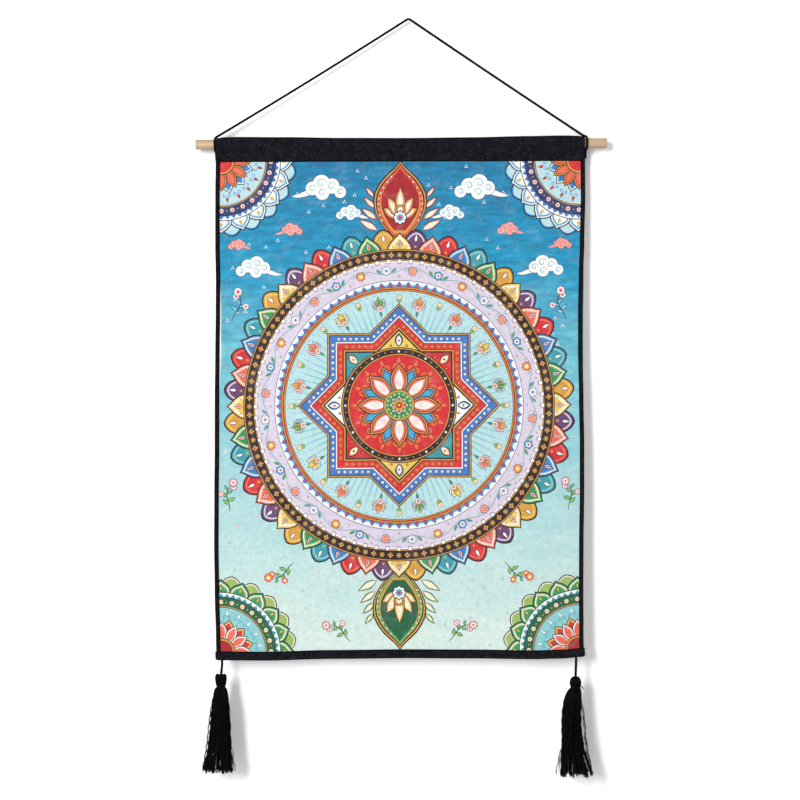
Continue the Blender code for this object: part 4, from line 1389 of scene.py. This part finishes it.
# A cloud's puffs: (x, y, radius), in sizes of the cloud.
PUFFS = ((-1.35, -0.30, 0.52), (-0.62, 0.22, 0.66), (0.28, 0.46, 0.74), (1.05, 0.02, 0.6), (0.2, -0.36, 0.62))


def cloud(p, x, y, size, flip, inks):
    """A scroll cloud of round puffs with a trailing end."""
    shares = [k / 9 for k in range(10)]
    tail = [(x + flip * size * (0.4 + 2.4 * s), y - size * (0.50 - 0.16 * sin(s * 5.2))) for s in shares]
    p.stroke(inks[0], tail, size * 0.62)
    p.stroke(inks[1], tail, size * 0.46)
    for ink, grow in ((inks[0], 0.55), (inks[1], 0)):
        for dx, dy, r in PUFFS:
            p.discs(x + flip * dx * size, y + dy * size, (ink, r * size + grow))
    for dx, dy, r in PUFFS:
        foot = x + flip * (dx - r * 0.6) * size, y + dy * size
        p.curl(inks[2], *foot, 0.0, r * size * 0.62, 1.0, flip, 1.25, 11)


BLUE_CLOUD = ("navy", "white", "sky")
RED_CLOUD = ("crimson", "rose", "coral")
# Clouds of the right half, mirrored on the left: (x, y, size, flip, inks).
CLOUDS = (
    (92, 264, 14, 1, BLUE_CLOUD), (178, 168, 12, -1, BLUE_CLOUD), (62, 234, 8.5, -1, BLUE_CLOUD),
    (132, 214, 7, 1, RED_CLOUD), (198, 196, 6, -1, RED_CLOUD),
)
PLUM_HEADS = ("plum", "rose", "white", "red")
GREEN_LEAVES = ("deep_leaf", "leaf", "moss")
# Sprays of the right half, mirrored on the left: (x, y, turn, lean, flip, inks of the flowers and of the leaves).
SPRAYS = (
    (205, 104, 0, -0.03, -1, ("navy", "white", "rose", "red"), ("navy", "teal", "aqua")),
    (206, -128, 0, -0.02, 1, PLUM_HEADS, GREEN_LEAVES),
    (128, -190, 0.5, -0.17, 1, ("crimson", "coral", "yellow", "white"), GREEN_LEAVES),
    (60, -287, 0, 0.16, -1, PLUM_HEADS, GREEN_LEAVES),
)
# Groups of dots strewn on the ground: how many, how far from each other, from the medallion's middle and from the
# rosettes', and down to where they are white.
STREWN = 90
STREWN_GAP = 11
STREWN_OUT = 194
STREWN_FROM_CORNER = 95
STREWN_WHITE = -60


def ground(p):
    for side in (-1, 1):
        for x, y, size, flip, inks in CLOUDS:
            cloud(p, side * x, y, size, side * flip, inks)
        for x, y, turn, lean, flip, heads, leaves in SPRAYS:
            spray(p, side * x, y, turn + lean * side, heads, leaves, side * flip)
    shake = random.Random(5)
    taken = []
    tries = 0
    while len(taken) < STREWN and tries < 4000:
        tries += 1
        x, y = shake.uniform(-212, 212), shake.uniform(-292, 292)
        if hypot(x, y) < STREWN_OUT or any(hypot(x - a, y - b) < STREWN_GAP for a, b in taken):
            continue
        if min(hypot(x - s * 217, y - t * 297) for s in (-1, 1) for t in (-1, 1)) < STREWN_FROM_CORNER:
            continue
        taken.append((x, y))
        ink = "white" if y > STREWN_WHITE else ("rose", "moss", "sage")[len(taken) % 3]
        for k in range(3):
            p.discs(*spot(1.5, k / 3, x, y), (ink, 0.8))


MEDALLION_SCALE = 1.13


def drawing():
    p = Print()
    ground(p)
    for x in (-PRINT_WIDE / 2, PRINT_WIDE / 2):
        corner(p, x, PRINT_TALL / 2, UPPER_ROSETTE)
        corner(p, x, -PRINT_TALL / 2, LOWER_ROSETTE)
    first = len(p.shapes)
    pendant(p, 1, "crimson", "red", "coral", "coral")
    pendant(p, -1, "deep_leaf", "leaf", "moss", "yellow")
    for part in (outer_petals, bead_band, vine_band, saw_band, palmettes, star, heart):
        part(p)
    for _, shape in p.shapes[first:]:
        shape[:] = [(x * MEDALLION_SCALE, y * MEDALLION_SCALE) for x, y in shape]
    return p.shapes


def inner_grid(right, bottom, top):
    """Points inside a sheet, so that it can follow the cloth's ripples."""
    rows = steps_between(bottom, top, PRINT_GRID)[1:-1]
    return [Vector((x, y)) for x in steps_between(-right, right, PRINT_GRID)[1:-1] for y in rows]


def printed_triangles():
    """Cuts the design into triangles that don't overlap: (points in mm, triangles, the ink of each)."""
    right, top = (CLOTH_WIDTH / 2 - PICTURE_INSET) / MM, PRINT_MIDDLE - PICTURE_TOP / MM
    bottom = PRINT_MIDDLE - PICTURE_BOTTOM / MM
    # The outline has points all along, so that the edges follow the cloth's ripples.
    across, up = steps_between(-right, right, PRINT_GRID), steps_between(bottom, top, PRINT_GRID)
    sheet = [(x, bottom) for x in across[:-1]] + [(right, y) for y in up[:-1]]
    sheet += [(x, top) for x in across[:0:-1]] + [(-right, y) for y in up[:0:-1]]
    points, faces, inks = [], [], []
    for ink, shape in [(None, sheet), *drawing()]:
        if all(abs(x) > right or not bottom < y < top for x, y in shape) and ink:
            continue
        doubled = sum(a[0] * b[1] - b[0] * a[1] for a, b in zip(shape, [*shape[1:], shape[0]]))
        start = len(points)
        points += [Vector(point) for point in (shape if doubled > 0 else reversed(shape))]
        faces.append(list(range(start, len(points))))
        inks.append(ink)
    cut, _, pieces, _, _, sources = delaunay_2d_cdt(points, [], faces, 1, MERGE, True)
    # The last shape painted over a place gives its ink. Outside the sheet there is none.
    painted = [inks[max(source)] if 0 in source else "" for source in sources]
    sides = {}
    for piece, ink in zip(pieces, painted):
        for a, b in zip(piece, (*piece[1:], piece[0])):
            sides.setdefault((min(a, b), max(a, b)), []).append(ink)
    kept = [edge for edge, both in sides.items() if len(set(both)) > 1 or (len(both) == 1 and both[0] != "")]
    used = sorted({place for edge in kept for place in edge})
    index = {place: i for i, place in enumerate(used)}
    points = [cut[place] for place in used] + inner_grid(right, bottom, top)
    edges = [(index[a], index[b]) for a, b in kept]
    flat, _, triangles, _, _, _ = delaunay_2d_cdt(points, edges, [], 0, MERGE, True)
    tree = BVHTree.FromPolygons([(point.x, point.y, 0) for point in cut], pieces)
    found = []
    for triangle in triangles:
        middle = sum((flat[i] for i in triangle), Vector((0, 0))) / 3
        hit = tree.ray_cast(Vector((*middle, 1)), Vector((0, 0, -1)))[2]
        found.append(None if hit is None else painted[hit] or None)
    return flat, triangles, found


def picture_mesh(sizes, inks, printed, bare):
    """The printed canvas: the design's triangles on its front, a coarser back, and its cut edges."""
    flat, triangles, painted = printed_triangles()
    half = sizes.canvas / 2
    sides = dict.fromkeys((a, b) for face in triangles for a, b in zip(face, (*face[1:], face[0])))
    border = [edge for edge in sides if edge[::-1] not in sides]
    around = sorted({place for edge in border for place in edge})
    rim = {place: i for i, place in enumerate(around)}
    lowest, highest = min(point.y for point in flat), max(point.y for point in flat)
    widest = max(point.x for point in flat)
    behind = [flat[place] for place in around] + inner_grid(widest, lowest, highest)
    edges = [(rim[a], rim[b]) for a, b in border]
    back, _, back_triangles, origin, _, _ = delaunay_2d_cdt(behind, edges, [], 0, MERGE, True)
    at = {old: new for new, olds in enumerate(origin) for old in olds}
    first = len(flat)
    points, normals = [], []
    for places, off in ((flat, -half), (back, half)):
        for place in places:
            along, drop = CLOTH_WIDTH / 2 + place.x * MM, (PRINT_MIDDLE - place.y) * MM
            points.append(hang(along, drop, off))
            slope = (ripple((along + MM) / CLOTH_WIDTH, drop) - ripple((along - MM) / CLOTH_WIDTH, drop)) / (2 * MM)
            fall = (ripple(along / CLOTH_WIDTH, drop + MM) - ripple(along / CLOTH_WIDTH, drop - MM)) / (2 * MM)
            normals.append(Vector((slope, -1, -fall)).normalized() * (1 if off < 0 else -1))
    faces = [tuple(triangle) for triangle in triangles]
    faces += [tuple(first + i for i in reversed(triangle)) for triangle in back_triangles]
    faces += [(b, a, first + at[rim[a]], first + at[rim[b]]) for a, b in border]
    mesh = bpy.data.meshes.new("printed_canvas")
    mesh.from_pydata([tuple(point) for point in points], [], faces)
    for material in (printed, bare):
        mesh.materials.append(material)
    front = len(triangles)
    mesh.polygons.foreach_set("material_index", [0] * front + [1] * (len(faces) - front))
    mesh.shade_smooth()
    corners = [0] * len(mesh.loops)
    mesh.loops.foreach_get("vertex_index", corners)
    spots = [*flat, *back]
    values = []
    for corner in corners:
        x, y = spots[corner]
        shift = MAP_BACK if corner >= first else 0.0
        values += [CLOTH_WIDTH / 2 + x * MM + shift, MAP_TOP - (PRINT_MIDDLE - y) * MM]
    mesh.uv_layers.new(name="map").uv.foreach_set("vector", values)
    tints = {None: (0.0,) * 4, **{ink: (*getattr(inks, ink), 1.0) for ink in INKS}}
    values = []
    for ink in painted:
        values += 3 * tints[ink]
    values += tints[None] * (len(corners) - 3 * front)
    tint = mesh.color_attributes.new(name="print", type="BYTE_COLOR", domain="CORNER")
    tint.data.foreach_set("color", values)
    mesh.normals_split_custom_set_from_vertices(normals)
    return mesh


def knot_route(side, turn_x):
    """The cord's end behind the rod: two turns round the standing part, then the hanging tail."""
    depth, top, foot, radius = (length * MM for length in KNOT_COIL)
    lowest = TAIL[-1][1]
    points = []
    for step in range(KNOT_STEPS + 1):
        share = step / KNOT_STEPS
        angle = tau * KNOT_TURNS * share + pi / 2
        height = top + (foot - top) * share
        x = turn_x * MM + radius * cos(angle)
        points.append(Vector((x, depth + radius * sin(angle), rod_axis(x) + height)))
    for back, height in TAIL:
        x = turn_x * MM - side * TAIL_LEAN * ramp(0, lowest, height)
        points.append(Vector((x, back * MM, rod_axis(x) + height * MM)))
    return smooth_route(points, 0.8 * MM)


def stitch_lines(sizes):
    """Lines of sewing on the outside of the black strips, and the way that each of them faces."""
    routes, ways = [], []
    across = steps_between(SEWING_START, CLOTH_WIDTH - SEWING_START, SEWING_SPACING)
    for sign in (-1, 1):
        heading, band = [], []
        for along in across:
            share = along / CLOTH_WIDTH
            seam = HEADING_SEAM_LEFT + (HEADING_SEAM_RIGHT - HEADING_SEAM_LEFT) * share
            off = sign * (sewn_at(along, sizes.canvas, sizes.cloth) + sizes.cloth)
            drop = seam - STITCH_INSET
            wave = sign * 0.3 * crease(along, drop, 0.2 * MM)
            heading.append(hang(along, drop, off + wave))
            wave = crease(along, 0.7, 0.1 * MM)
            band.append(hang(along, CLOTH_DROP - BAND_HEIGHT + STITCH_INSET, off + wave))
        routes += [heading, band]
        for side, edge in ((-1, 0), (1, CLOTH_WIDTH)):
            line = []
            for drop in steps_between(HEADING_SEAM_RIGHT + MM, CLOTH_DROP - BAND_HEIGHT - MM, SEWING_SPACING):
                off = sign * (sizes.canvas / 2 + SEWN_GAP + sizes.cloth) + crease(drop, side * 0.3, 0.12 * MM)
                line.append(hang(edge - side * (BINDING_WIDTH - STITCH_INSET), drop, off))
            routes.append(line)
        ways += 4 * [(0, sign, 0)]
    return routes, ways


# Threads that have frayed out of the strips' ends: (along, drop, then steps sideways, forward and down), in mm.
FRAYS = (
    (-0.9, 616.2, ((-1.2, -0.4, 0.3), (-2.6, -0.9, 1.4), (-3.4, -0.8, 3.0))),
    (-0.8, 618.0, ((-0.9, 0.2, 0.5), (-1.9, 0.1, 0.6), (-2.6, 0.3, 0.0))),
    (450.9, 615.8, ((1.0, -0.3, -0.4), (2.2, -0.7, -0.3), (3.0, -0.9, 0.8))),
    (450.8, 620.4, ((1.1, 0.1, 0.5), (2.1, 0.4, 1.7), (2.4, 0.4, 3.2))),
    (450.6, 622.2, ((0.8, -0.2, 0.7), (1.3, -0.5, 2.0), (2.5, -0.6, 2.6))),
    (0.0, 19.5, ((-0.8, -0.3, 0.5), (-1.4, -0.7, 1.7), (-1.2, -0.9, 2.9))),
    (450.0, 18.0, ((0.7, -0.4, 0.4), (1.5, -0.5, 1.3), (1.8, -0.9, 2.6))),
)


def fray_routes():
    routes = []
    for along, drop, steps in FRAYS:
        start = hang(along * MM, drop * MM, -0.9 * MM)
        points = [start] + [start + Vector((x, y, -down)) * MM for x, y, down in steps]
        routes.append(smooth_route(points, 0.4 * MM))
    return routes


def head_point(turn, row, share, lobes):
    """A point of a tassel's head at one row of its profile, from the middle of its top."""
    below, radius, rise = row
    x, y = cos(tau * turn), sin(tau * turn)
    lobe = (x * x - y * y) * lobes
    reach = radius * share * (1 + HEAD_LOBE * lobe)
    return Vector((reach * x, reach * y * HEAD_DEPTH_SHARE, 0.7 * lobe * rise - below)) * MM


def skirt_point(skirt, level, x, y):
    """A place of the skirt's section at one of its levels, from a place in a disc of radius 1."""
    below, left, right = skirt[level]
    half = (right - left) / 2
    return Vector(((left + right) / 2 + half * x, half * y * SKIRT_DEPTH_SHARE, -below)) * MM


def lock_routes(shake, skirt, place, shifts, threads, longer, step, loose):
    """One lock of a tassel's skirt: threads that lie, sway and crimp together."""
    routes = []
    sway = [(shake.gauss(0, 0.12) * level, shake.gauss(0, 0.12) * level) for level in range(len(skirt))]
    bend, length = shake.uniform(0, tau), shake.uniform(*CRIMP_LENGTH)
    for _ in range(threads):
        spread, way = sqrt(shake.random()), shake.uniform(0, tau)
        own = shake.gauss(0, 0.7) * MM + longer
        points = []
        for level, shift in enumerate(shifts):
            off = spread * loose * (1 - 0.08 * level)
            x, y = place[0] + off * cos(way), place[1] + off * sin(way)
            point = skirt_point(skirt, level, x, y)
            across = sway[level][0] + copysign(shift, place[0]) + shake.gauss(0, 0.06) * level
            points.append(point + Vector((across, sway[level][1], 0)) * MM)
        points[-1].z -= own
        route = smooth_route(points, step)
        turn = bend + shake.gauss(0, 0.5)
        for point in route:
            size_here = CRIMP * ramp(16 * MM, 40 * MM, -point.z)
            angle = turn - point.z * tau / length
            point += Vector((sin(angle), cos(angle * 0.83 + way), 0)) * size_here
        routes.append(route)
    return routes


def tassel_routes(sizes, head, skirt, strays, lobes, seed):
    """The threads of a tassel, from the middle of its head's top: those over the head, then the skirt's."""
    shake = random.Random(seed)
    routes = []
    for layer, share in enumerate(HEAD_LAYERS):
        count = sizes.head_threads // len(HEAD_LAYERS)
        for i in range(count):
            turn = (i + 0.5 * layer + shake.uniform(-0.3, 0.3)) / count
            lean = shake.uniform(-0.002, 0.002)
            own = share * shake.uniform(0.985, 1.02)
            points = [head_point(turn + lean * level, row, own, lobes) for level, row in enumerate(head)]
            routes.append(smooth_route(points, HEAD_STEP))
    golden = (sqrt(5) - 1) / 2
    plain = (0,) * len(skirt)
    outer = sizes.locks * 3 // 5
    for lock in range(sizes.locks):
        inner = lock >= outer
        if inner:
            radius, turn = INNER_REACH * sqrt((lock - outer + 0.5) / (sizes.locks - outer)), lock * golden
        else:
            radius, turn = shake.uniform(*OUTER_REACH), (lock + shake.uniform(-0.2, 0.2)) / outer
        place = (radius * cos(tau * turn), radius * sin(tau * turn))
        longer = shake.uniform(-1, 0.7) * TIP_SPREAD
        step = INNER_STEP if inner else OUTER_STEP
        routes += lock_routes(shake, skirt, place, plain, sizes.lock_threads, longer, step, LOCK_LOOSE)
    for side, forward, shifts, threads, longer in strays:
        place = (side * sqrt(1 - forward * forward) * STRAY_REACH, -forward)
        routes += lock_routes(shake, skirt, place, shifts, threads, longer * MM, STRAY_STEP, STRAY_LOOSE)
    return routes


def tassel_core(head, skirt, lobes, top, material):
    """A dark body inside the threads, so that nothing shows between them."""
    turns = [i / CORE_SIDES for i in range(CORE_SIDES)]
    rings = [[top + head_point(turn, row, CORE_SHARE, lobes) for turn in turns] for row in head[1:-1]]
    for level, share in CORE_LEVELS:
        places = [(share * cos(tau * turn), share * sin(tau * turn)) for turn in turns]
        rings.append([top + skirt_point(skirt, level, *place) for place in places])
    first = top - Vector((0, 0, CORE_TOP))
    last = sum(rings[-1], Vector()) / CORE_SIDES - Vector((0, 0, CORE_END))
    return tube_mesh("tassel_core", rings, first, last, material)


# The winding: its turns, its height, the points in each turn, and where in a turn it starts. Then its cut end, as
# places from the neck's right side.
WINDING_TURNS = 5
WINDING_HEIGHT = 2.1
WINDING_STEPS = 24
WINDING_START = 1.0
WINDING_END = ((-0.6, -0.9, 0.6), (1.4, -1.4, 0.3), (2.8, -1.6, -0.9), (4.0, -1.6, -2.6))


def winding_routes(top, start, radius, right):
    """Thread wound round a tassel's neck, and its cut end, which sticks out to the right on one of them."""
    points = []
    for step in range(WINDING_TURNS * WINDING_STEPS + 1):
        turn = step / WINDING_STEPS
        angle = tau * turn + WINDING_START
        below = start + WINDING_HEIGHT * turn / WINDING_TURNS
        points.append(top + Vector((radius * cos(angle), radius * sin(angle), -below)) * MM)
    routes = [points]
    if right:
        for beside in (0.0, 0.5):
            places = [top + Vector((radius + x - beside, y, z - beside - start)) * MM for x, y, z in WINDING_END]
            routes.append(smooth_route(places, 0.4 * MM))
    return routes


def hanger_route(x, drop, band_x):
    """A tassel's short cord, from the bottom band to the dimple in the tassel's head."""
    left, right = SIDE_EDGES[-1][1], SIDE_EDGES[-1][2]
    along = (band_x - left) / (right - left) * CLOTH_WIDTH
    start = hang(along, CLOTH_DROP, 0) - Vector((0, 0, CLEARANCE - SKIN))
    end = Vector((x * MM, 0, -(drop + 2.4) * MM))
    bow = Vector((HANGER_BOW * (x - band_x) * MM, 0, 0))
    points = [start, (start * 2 + end) / 3 - bow, (start + end * 2) / 3 - bow / 2, end]
    return smooth_route(points, 1.2 * MM)


# Operators: the stage, then each piece or group of like pieces.

# Sides of the threads' round sections: fewest where the threads are many.
TASSEL_SIDES = 4
FRAY_SIDES = 5
WINDING_SIDES = 7

CAMERA = (-0.0097, -2.7027, -0.4645)
CAMERA_LENS = 100.0
CAMERA_SENSOR = 36.0
# The wall stands this far behind the hanging point, and the hanging leans from it as far as its shadow shows.
WALL_DEPTH = 8.5 * MM
WALL_LEAN = 0.031
FLOOR_HEIGHT = -1.12
STAGE_SIZE = 8.0
# One large soft light from the front left, and an even light all round that keeps its shadows pale.
KEY_PLACE = Vector((-2.4, -4.8, 0.85))
KEY_AIM = Vector((0, 0, -0.45))
KEY_SIDES = (1.1, 2.2)
KEY_WATTS = 250.0
WORLD_STRENGTH = 0.55


class HANGING_OT_stage(Operator):
    """Add the camera, the light, the wall and the floor"""

    bl_idname = "hanging.stage"
    bl_label = "Add the stage"

    def execute(self, context):
        scene = context.scene
        colours = scene.hanging_colours
        camera = bpy.data.objects.new("camera", bpy.data.cameras.new("camera"))
        camera.location = CAMERA
        camera.rotation_euler = (pi / 2, 0, 0)
        camera.data.lens = CAMERA_LENS
        camera.data.sensor_width = CAMERA_SENSOR
        scene.collection.objects.link(camera)
        scene.camera = camera
        scene.view_settings.view_transform = "Standard"
        light = bpy.data.lights.new("key_light", "AREA")
        light.shape = "RECTANGLE"
        light.size, light.size_y = KEY_SIDES
        light.energy = KEY_WATTS
        lamp = bpy.data.objects.new("key_light", light)
        lamp.location = KEY_PLACE
        lamp.rotation_euler = (KEY_AIM - KEY_PLACE).to_track_quat("-Z", "Y").to_euler()
        scene.collection.objects.link(lamp)
        world = bpy.data.worlds.new("soft studio light")
        world.use_nodes = True
        back = world.node_tree.nodes["Background"]
        back.inputs["Color"].default_value = (1, 1, 1, 1)
        back.inputs["Strength"].default_value = WORLD_STRENGTH
        scene.world = world
        turn = (pi / 2 + WALL_LEAN, 0, 0)
        wall = self.plane("wall", (0, WALL_DEPTH, 0), turn, self.paint("Matt white paint, wall", colours.wall))
        floor_paint = self.paint("Matt pale paint, floor", colours.floor)
        floor = self.plane("floor", (0, 0, FLOOR_HEIGHT), (0, 0, 0), floor_paint)
        # The wall catches shadows for the camera. The object's light and its back stay clear of it.
        for hidden in ("diffuse", "glossy", "transmission", "shadow"):
            setattr(wall, "visible_" + hidden, False)
        for piece in (wall, floor):
            scene.collection.objects.link(piece)
        return {"FINISHED"}

    def plane(self, name, place, turn, material):
        mesh = bpy.data.meshes.new(name)
        half = STAGE_SIZE / 2
        corners = [(-half, -half, 0), (half, -half, 0), (half, half, 0), (-half, half, 0)]
        mesh.from_pydata(corners, [], [(0, 1, 2, 3)])
        mesh.materials.append(material)
        made = bpy.data.objects.new(name, mesh)
        made.location = place
        made.rotation_euler = turn
        return made

    def paint(self, name, colours):
        """Matt paint, rolled. It is clear from behind, so that the hanging can be looked at from there."""
        made, tree, shader = surface(name, colours, 1.0)
        back = node(tree, "NewGeometry").outputs["Backfacing"]
        clear = node(tree, "BsdfTransparent")
        mixed = node(tree, "MixShader", {0: back, 1: shader, 2: clear})
        tree.links.new(mixed.outputs[0], tree.nodes["Material Output"].inputs["Surface"])
        return made


class HANGING_OT_cord(Operator):
    """Add the hanging cord and its two knots"""

    bl_idname = "hanging.cord"
    bl_label = "Add the cord"

    def execute(self, context):
        sizes = context.scene.hanging_sizes
        material = cord_material(context.scene.hanging_colours)
        tree = twisted_tree()
        twist = {"Plies": sizes.plies, "Pitch": sizes.cord_pitch, "Material": material}
        twist["Radius"] = TWIST_SWELL * sizes.cord / 2
        for side, turn_x, _, _ in CORD_ENDS:
            end = "left" if side < 0 else "right"
            mesh = grown(context, f"tied_knot_{end}", [knot_route(side, turn_x)], tree, **twist)
            link_object(context, mesh, "cord", f"cord_knot_{end}")
        route = smooth_route(cord_route(), CORD_FINE_SPACING, CORD_SPACING)
        mesh = grown(context, "twisted_hanging_cord", [route], tree, **twist)
        made = link_object(context, mesh, "cord", "hanging_cord")
        return {"FINISHED"}


class HANGING_OT_rod(Operator):
    """Add the wooden rod"""

    bl_idname = "hanging.rod"
    bl_label = "Add the rod"

    def execute(self, context):
        mesh = rod_mesh(wood_material(context.scene.hanging_colours))
        link_object(context, mesh, "wood", "rod")
        return {"FINISHED"}


class HANGING_OT_picture(Operator):
    """Add the printed canvas"""

    bl_idname = "hanging.picture"
    bl_label = "Add the picture"

    def execute(self, context):
        scene = context.scene
        printed = print_material(scene.hanging_colours, scene.hanging_sizes)
        bare = canvas_material(scene.hanging_colours, scene.hanging_sizes)
        mesh = picture_mesh(scene.hanging_sizes, scene.hanging_inks, printed, bare)
        made = link_object(context, mesh, "canvas", "picture_cloth")
        return {"FINISHED"}


class HANGING_OT_strips(Operator):
    """Add the black heading, the side bindings and the bottom band, with their sewing"""

    bl_idname = "hanging.strips"
    bl_label = "Add the black strips"

    def execute(self, context):
        sizes = context.scene.hanging_sizes
        material = black_cloth_material(context.scene.hanging_colours, sizes)
        heading = heading_mesh(sizes, material)
        left = binding_mesh("left_binding_cloth", -1, sizes, material)
        right = binding_mesh("right_binding_cloth", 1, sizes, material)
        band = band_mesh(sizes, material)
        drop = PICTURE_BOTTOM - PICTURE_TOP
        for mesh, long, solid, held in (
            (heading, CLOTH_WIDTH, "heading", ("rod_dowel",)),
            (left, drop, "left_binding", ("printed_canvas",)),
            (right, drop, "right_binding", ("printed_canvas",)),
            (band, CLOTH_WIDTH + 2 * BAND_OVERHANG, "bottom_band", ("printed_canvas",)),
        ):
            made = link_object(context, mesh, "black_cloth", solid)
        sewing = {"Radius": sizes.sewing_thread / 2, "Material": sewing_material(context.scene.hanging_colours)}
        row = {"Length": sizes.stitch, "Gap": sizes.stitch_gap}
        routes, ways = stitch_lines(sizes)
        mesh = grown(context, "sewing_stitches", routes, stitch_tree(), ways, **row, **sewing)
        link_object(context, mesh, "thread")
        mesh = grown(context, "frayed_threads", fray_routes(), thread_tree(), Sides=FRAY_SIDES, **sewing)
        link_object(context, mesh, "thread")
        return {"FINISHED"}


class HANGING_OT_tassels(Operator):
    """Add the two tassels, the thread wound round their necks, and their short cords"""

    bl_idname = "hanging.tassels"
    bl_label = "Add the tassels"

    def execute(self, context):
        sizes = context.scene.hanging_sizes
        colours = context.scene.hanging_colours
        thread = thread_material(colours)
        cord = bpy.data.materials[CORD_SURFACE]
        plies, threads = twisted_tree(), thread_tree()
        for name, x, drop, band_x, head, skirt, strays, lobes, winding, seed in TASSELS:
            twist = {"Plies": sizes.plies, "Pitch": sizes.cord_pitch, "Material": cord}
            twist["Radius"] = TWIST_SWELL * sizes.hanger / 2
            mesh = grown(context, f"twisted_hanger_{name}", [hanger_route(x, drop, band_x)], plies, **twist)
            link_object(context, mesh, "cord", f"tassel_hanger_{name}")
            top = Vector((x, 0, -drop)) * MM
            routes = tassel_routes(sizes, head, skirt, strays, lobes, seed)
            routes = [[top + point for point in route] for route in routes]
            look = {"Radius": sizes.tassel_thread / 2, "Sides": TASSEL_SIDES, "Material": thread}
            strands = grown(context, "strands", routes, threads, **look)
            core = tassel_core(head, skirt, lobes, top, thread)
            mesh = joined(f"thread_tassel_{name}", [strands, core])
            link_object(context, mesh, "thread", f"tassel_{name}")
            look = {"Radius": sizes.winding_thread / 2, "Sides": WINDING_SIDES, "Material": thread}
            mesh = grown(context, f"wound_neck_{name}", winding_routes(top, *winding, x > 0), threads, **look)
            link_object(context, mesh, "thread", f"tassel_binding_{name}")
        return {"FINISHED"}


class HANGING_PT_panel(Panel):
    """Lists what builds the wall hanging"""

    bl_label = "Wall hanging"
    bl_space_type = "VIEW_3D"
    bl_region_type = "UI"
    bl_category = "Hanging"

    def draw(self, context):
        for step in STEPS:
            self.layout.operator(step.bl_idname)
        for name, group in GROUPS:
            box = self.layout.box()
            for label in group.bl_rna.properties.keys():
                if label not in ("rna_type", "name"):
                    box.prop(getattr(context.scene, name), label)


GROUPS = (("hanging_sizes", HangingSizes), ("hanging_colours", HangingColours), ("hanging_inks", HangingInks))
STEPS = (HANGING_OT_stage, HANGING_OT_cord, HANGING_OT_rod, HANGING_OT_picture, HANGING_OT_strips, HANGING_OT_tassels)


def register():
    for name, group in GROUPS:
        bpy.utils.register_class(group)
        setattr(bpy.types.Scene, name, PointerProperty(type=group))
    for step in (*STEPS, HANGING_PT_panel):
        bpy.utils.register_class(step)


def unregister():
    for step in (HANGING_PT_panel, *reversed(STEPS)):
        bpy.utils.unregister_class(step)
    for name, group in reversed(GROUPS):
        delattr(bpy.types.Scene, name)
        bpy.utils.unregister_class(group)


def main():
    register()
    bpy.ops.hanging.stage()
    bpy.ops.hanging.cord()
    bpy.ops.hanging.rod()
    bpy.ops.hanging.picture()
    bpy.ops.hanging.strips()
    bpy.ops.hanging.tassels()


if __name__ == "__main__":
    main()
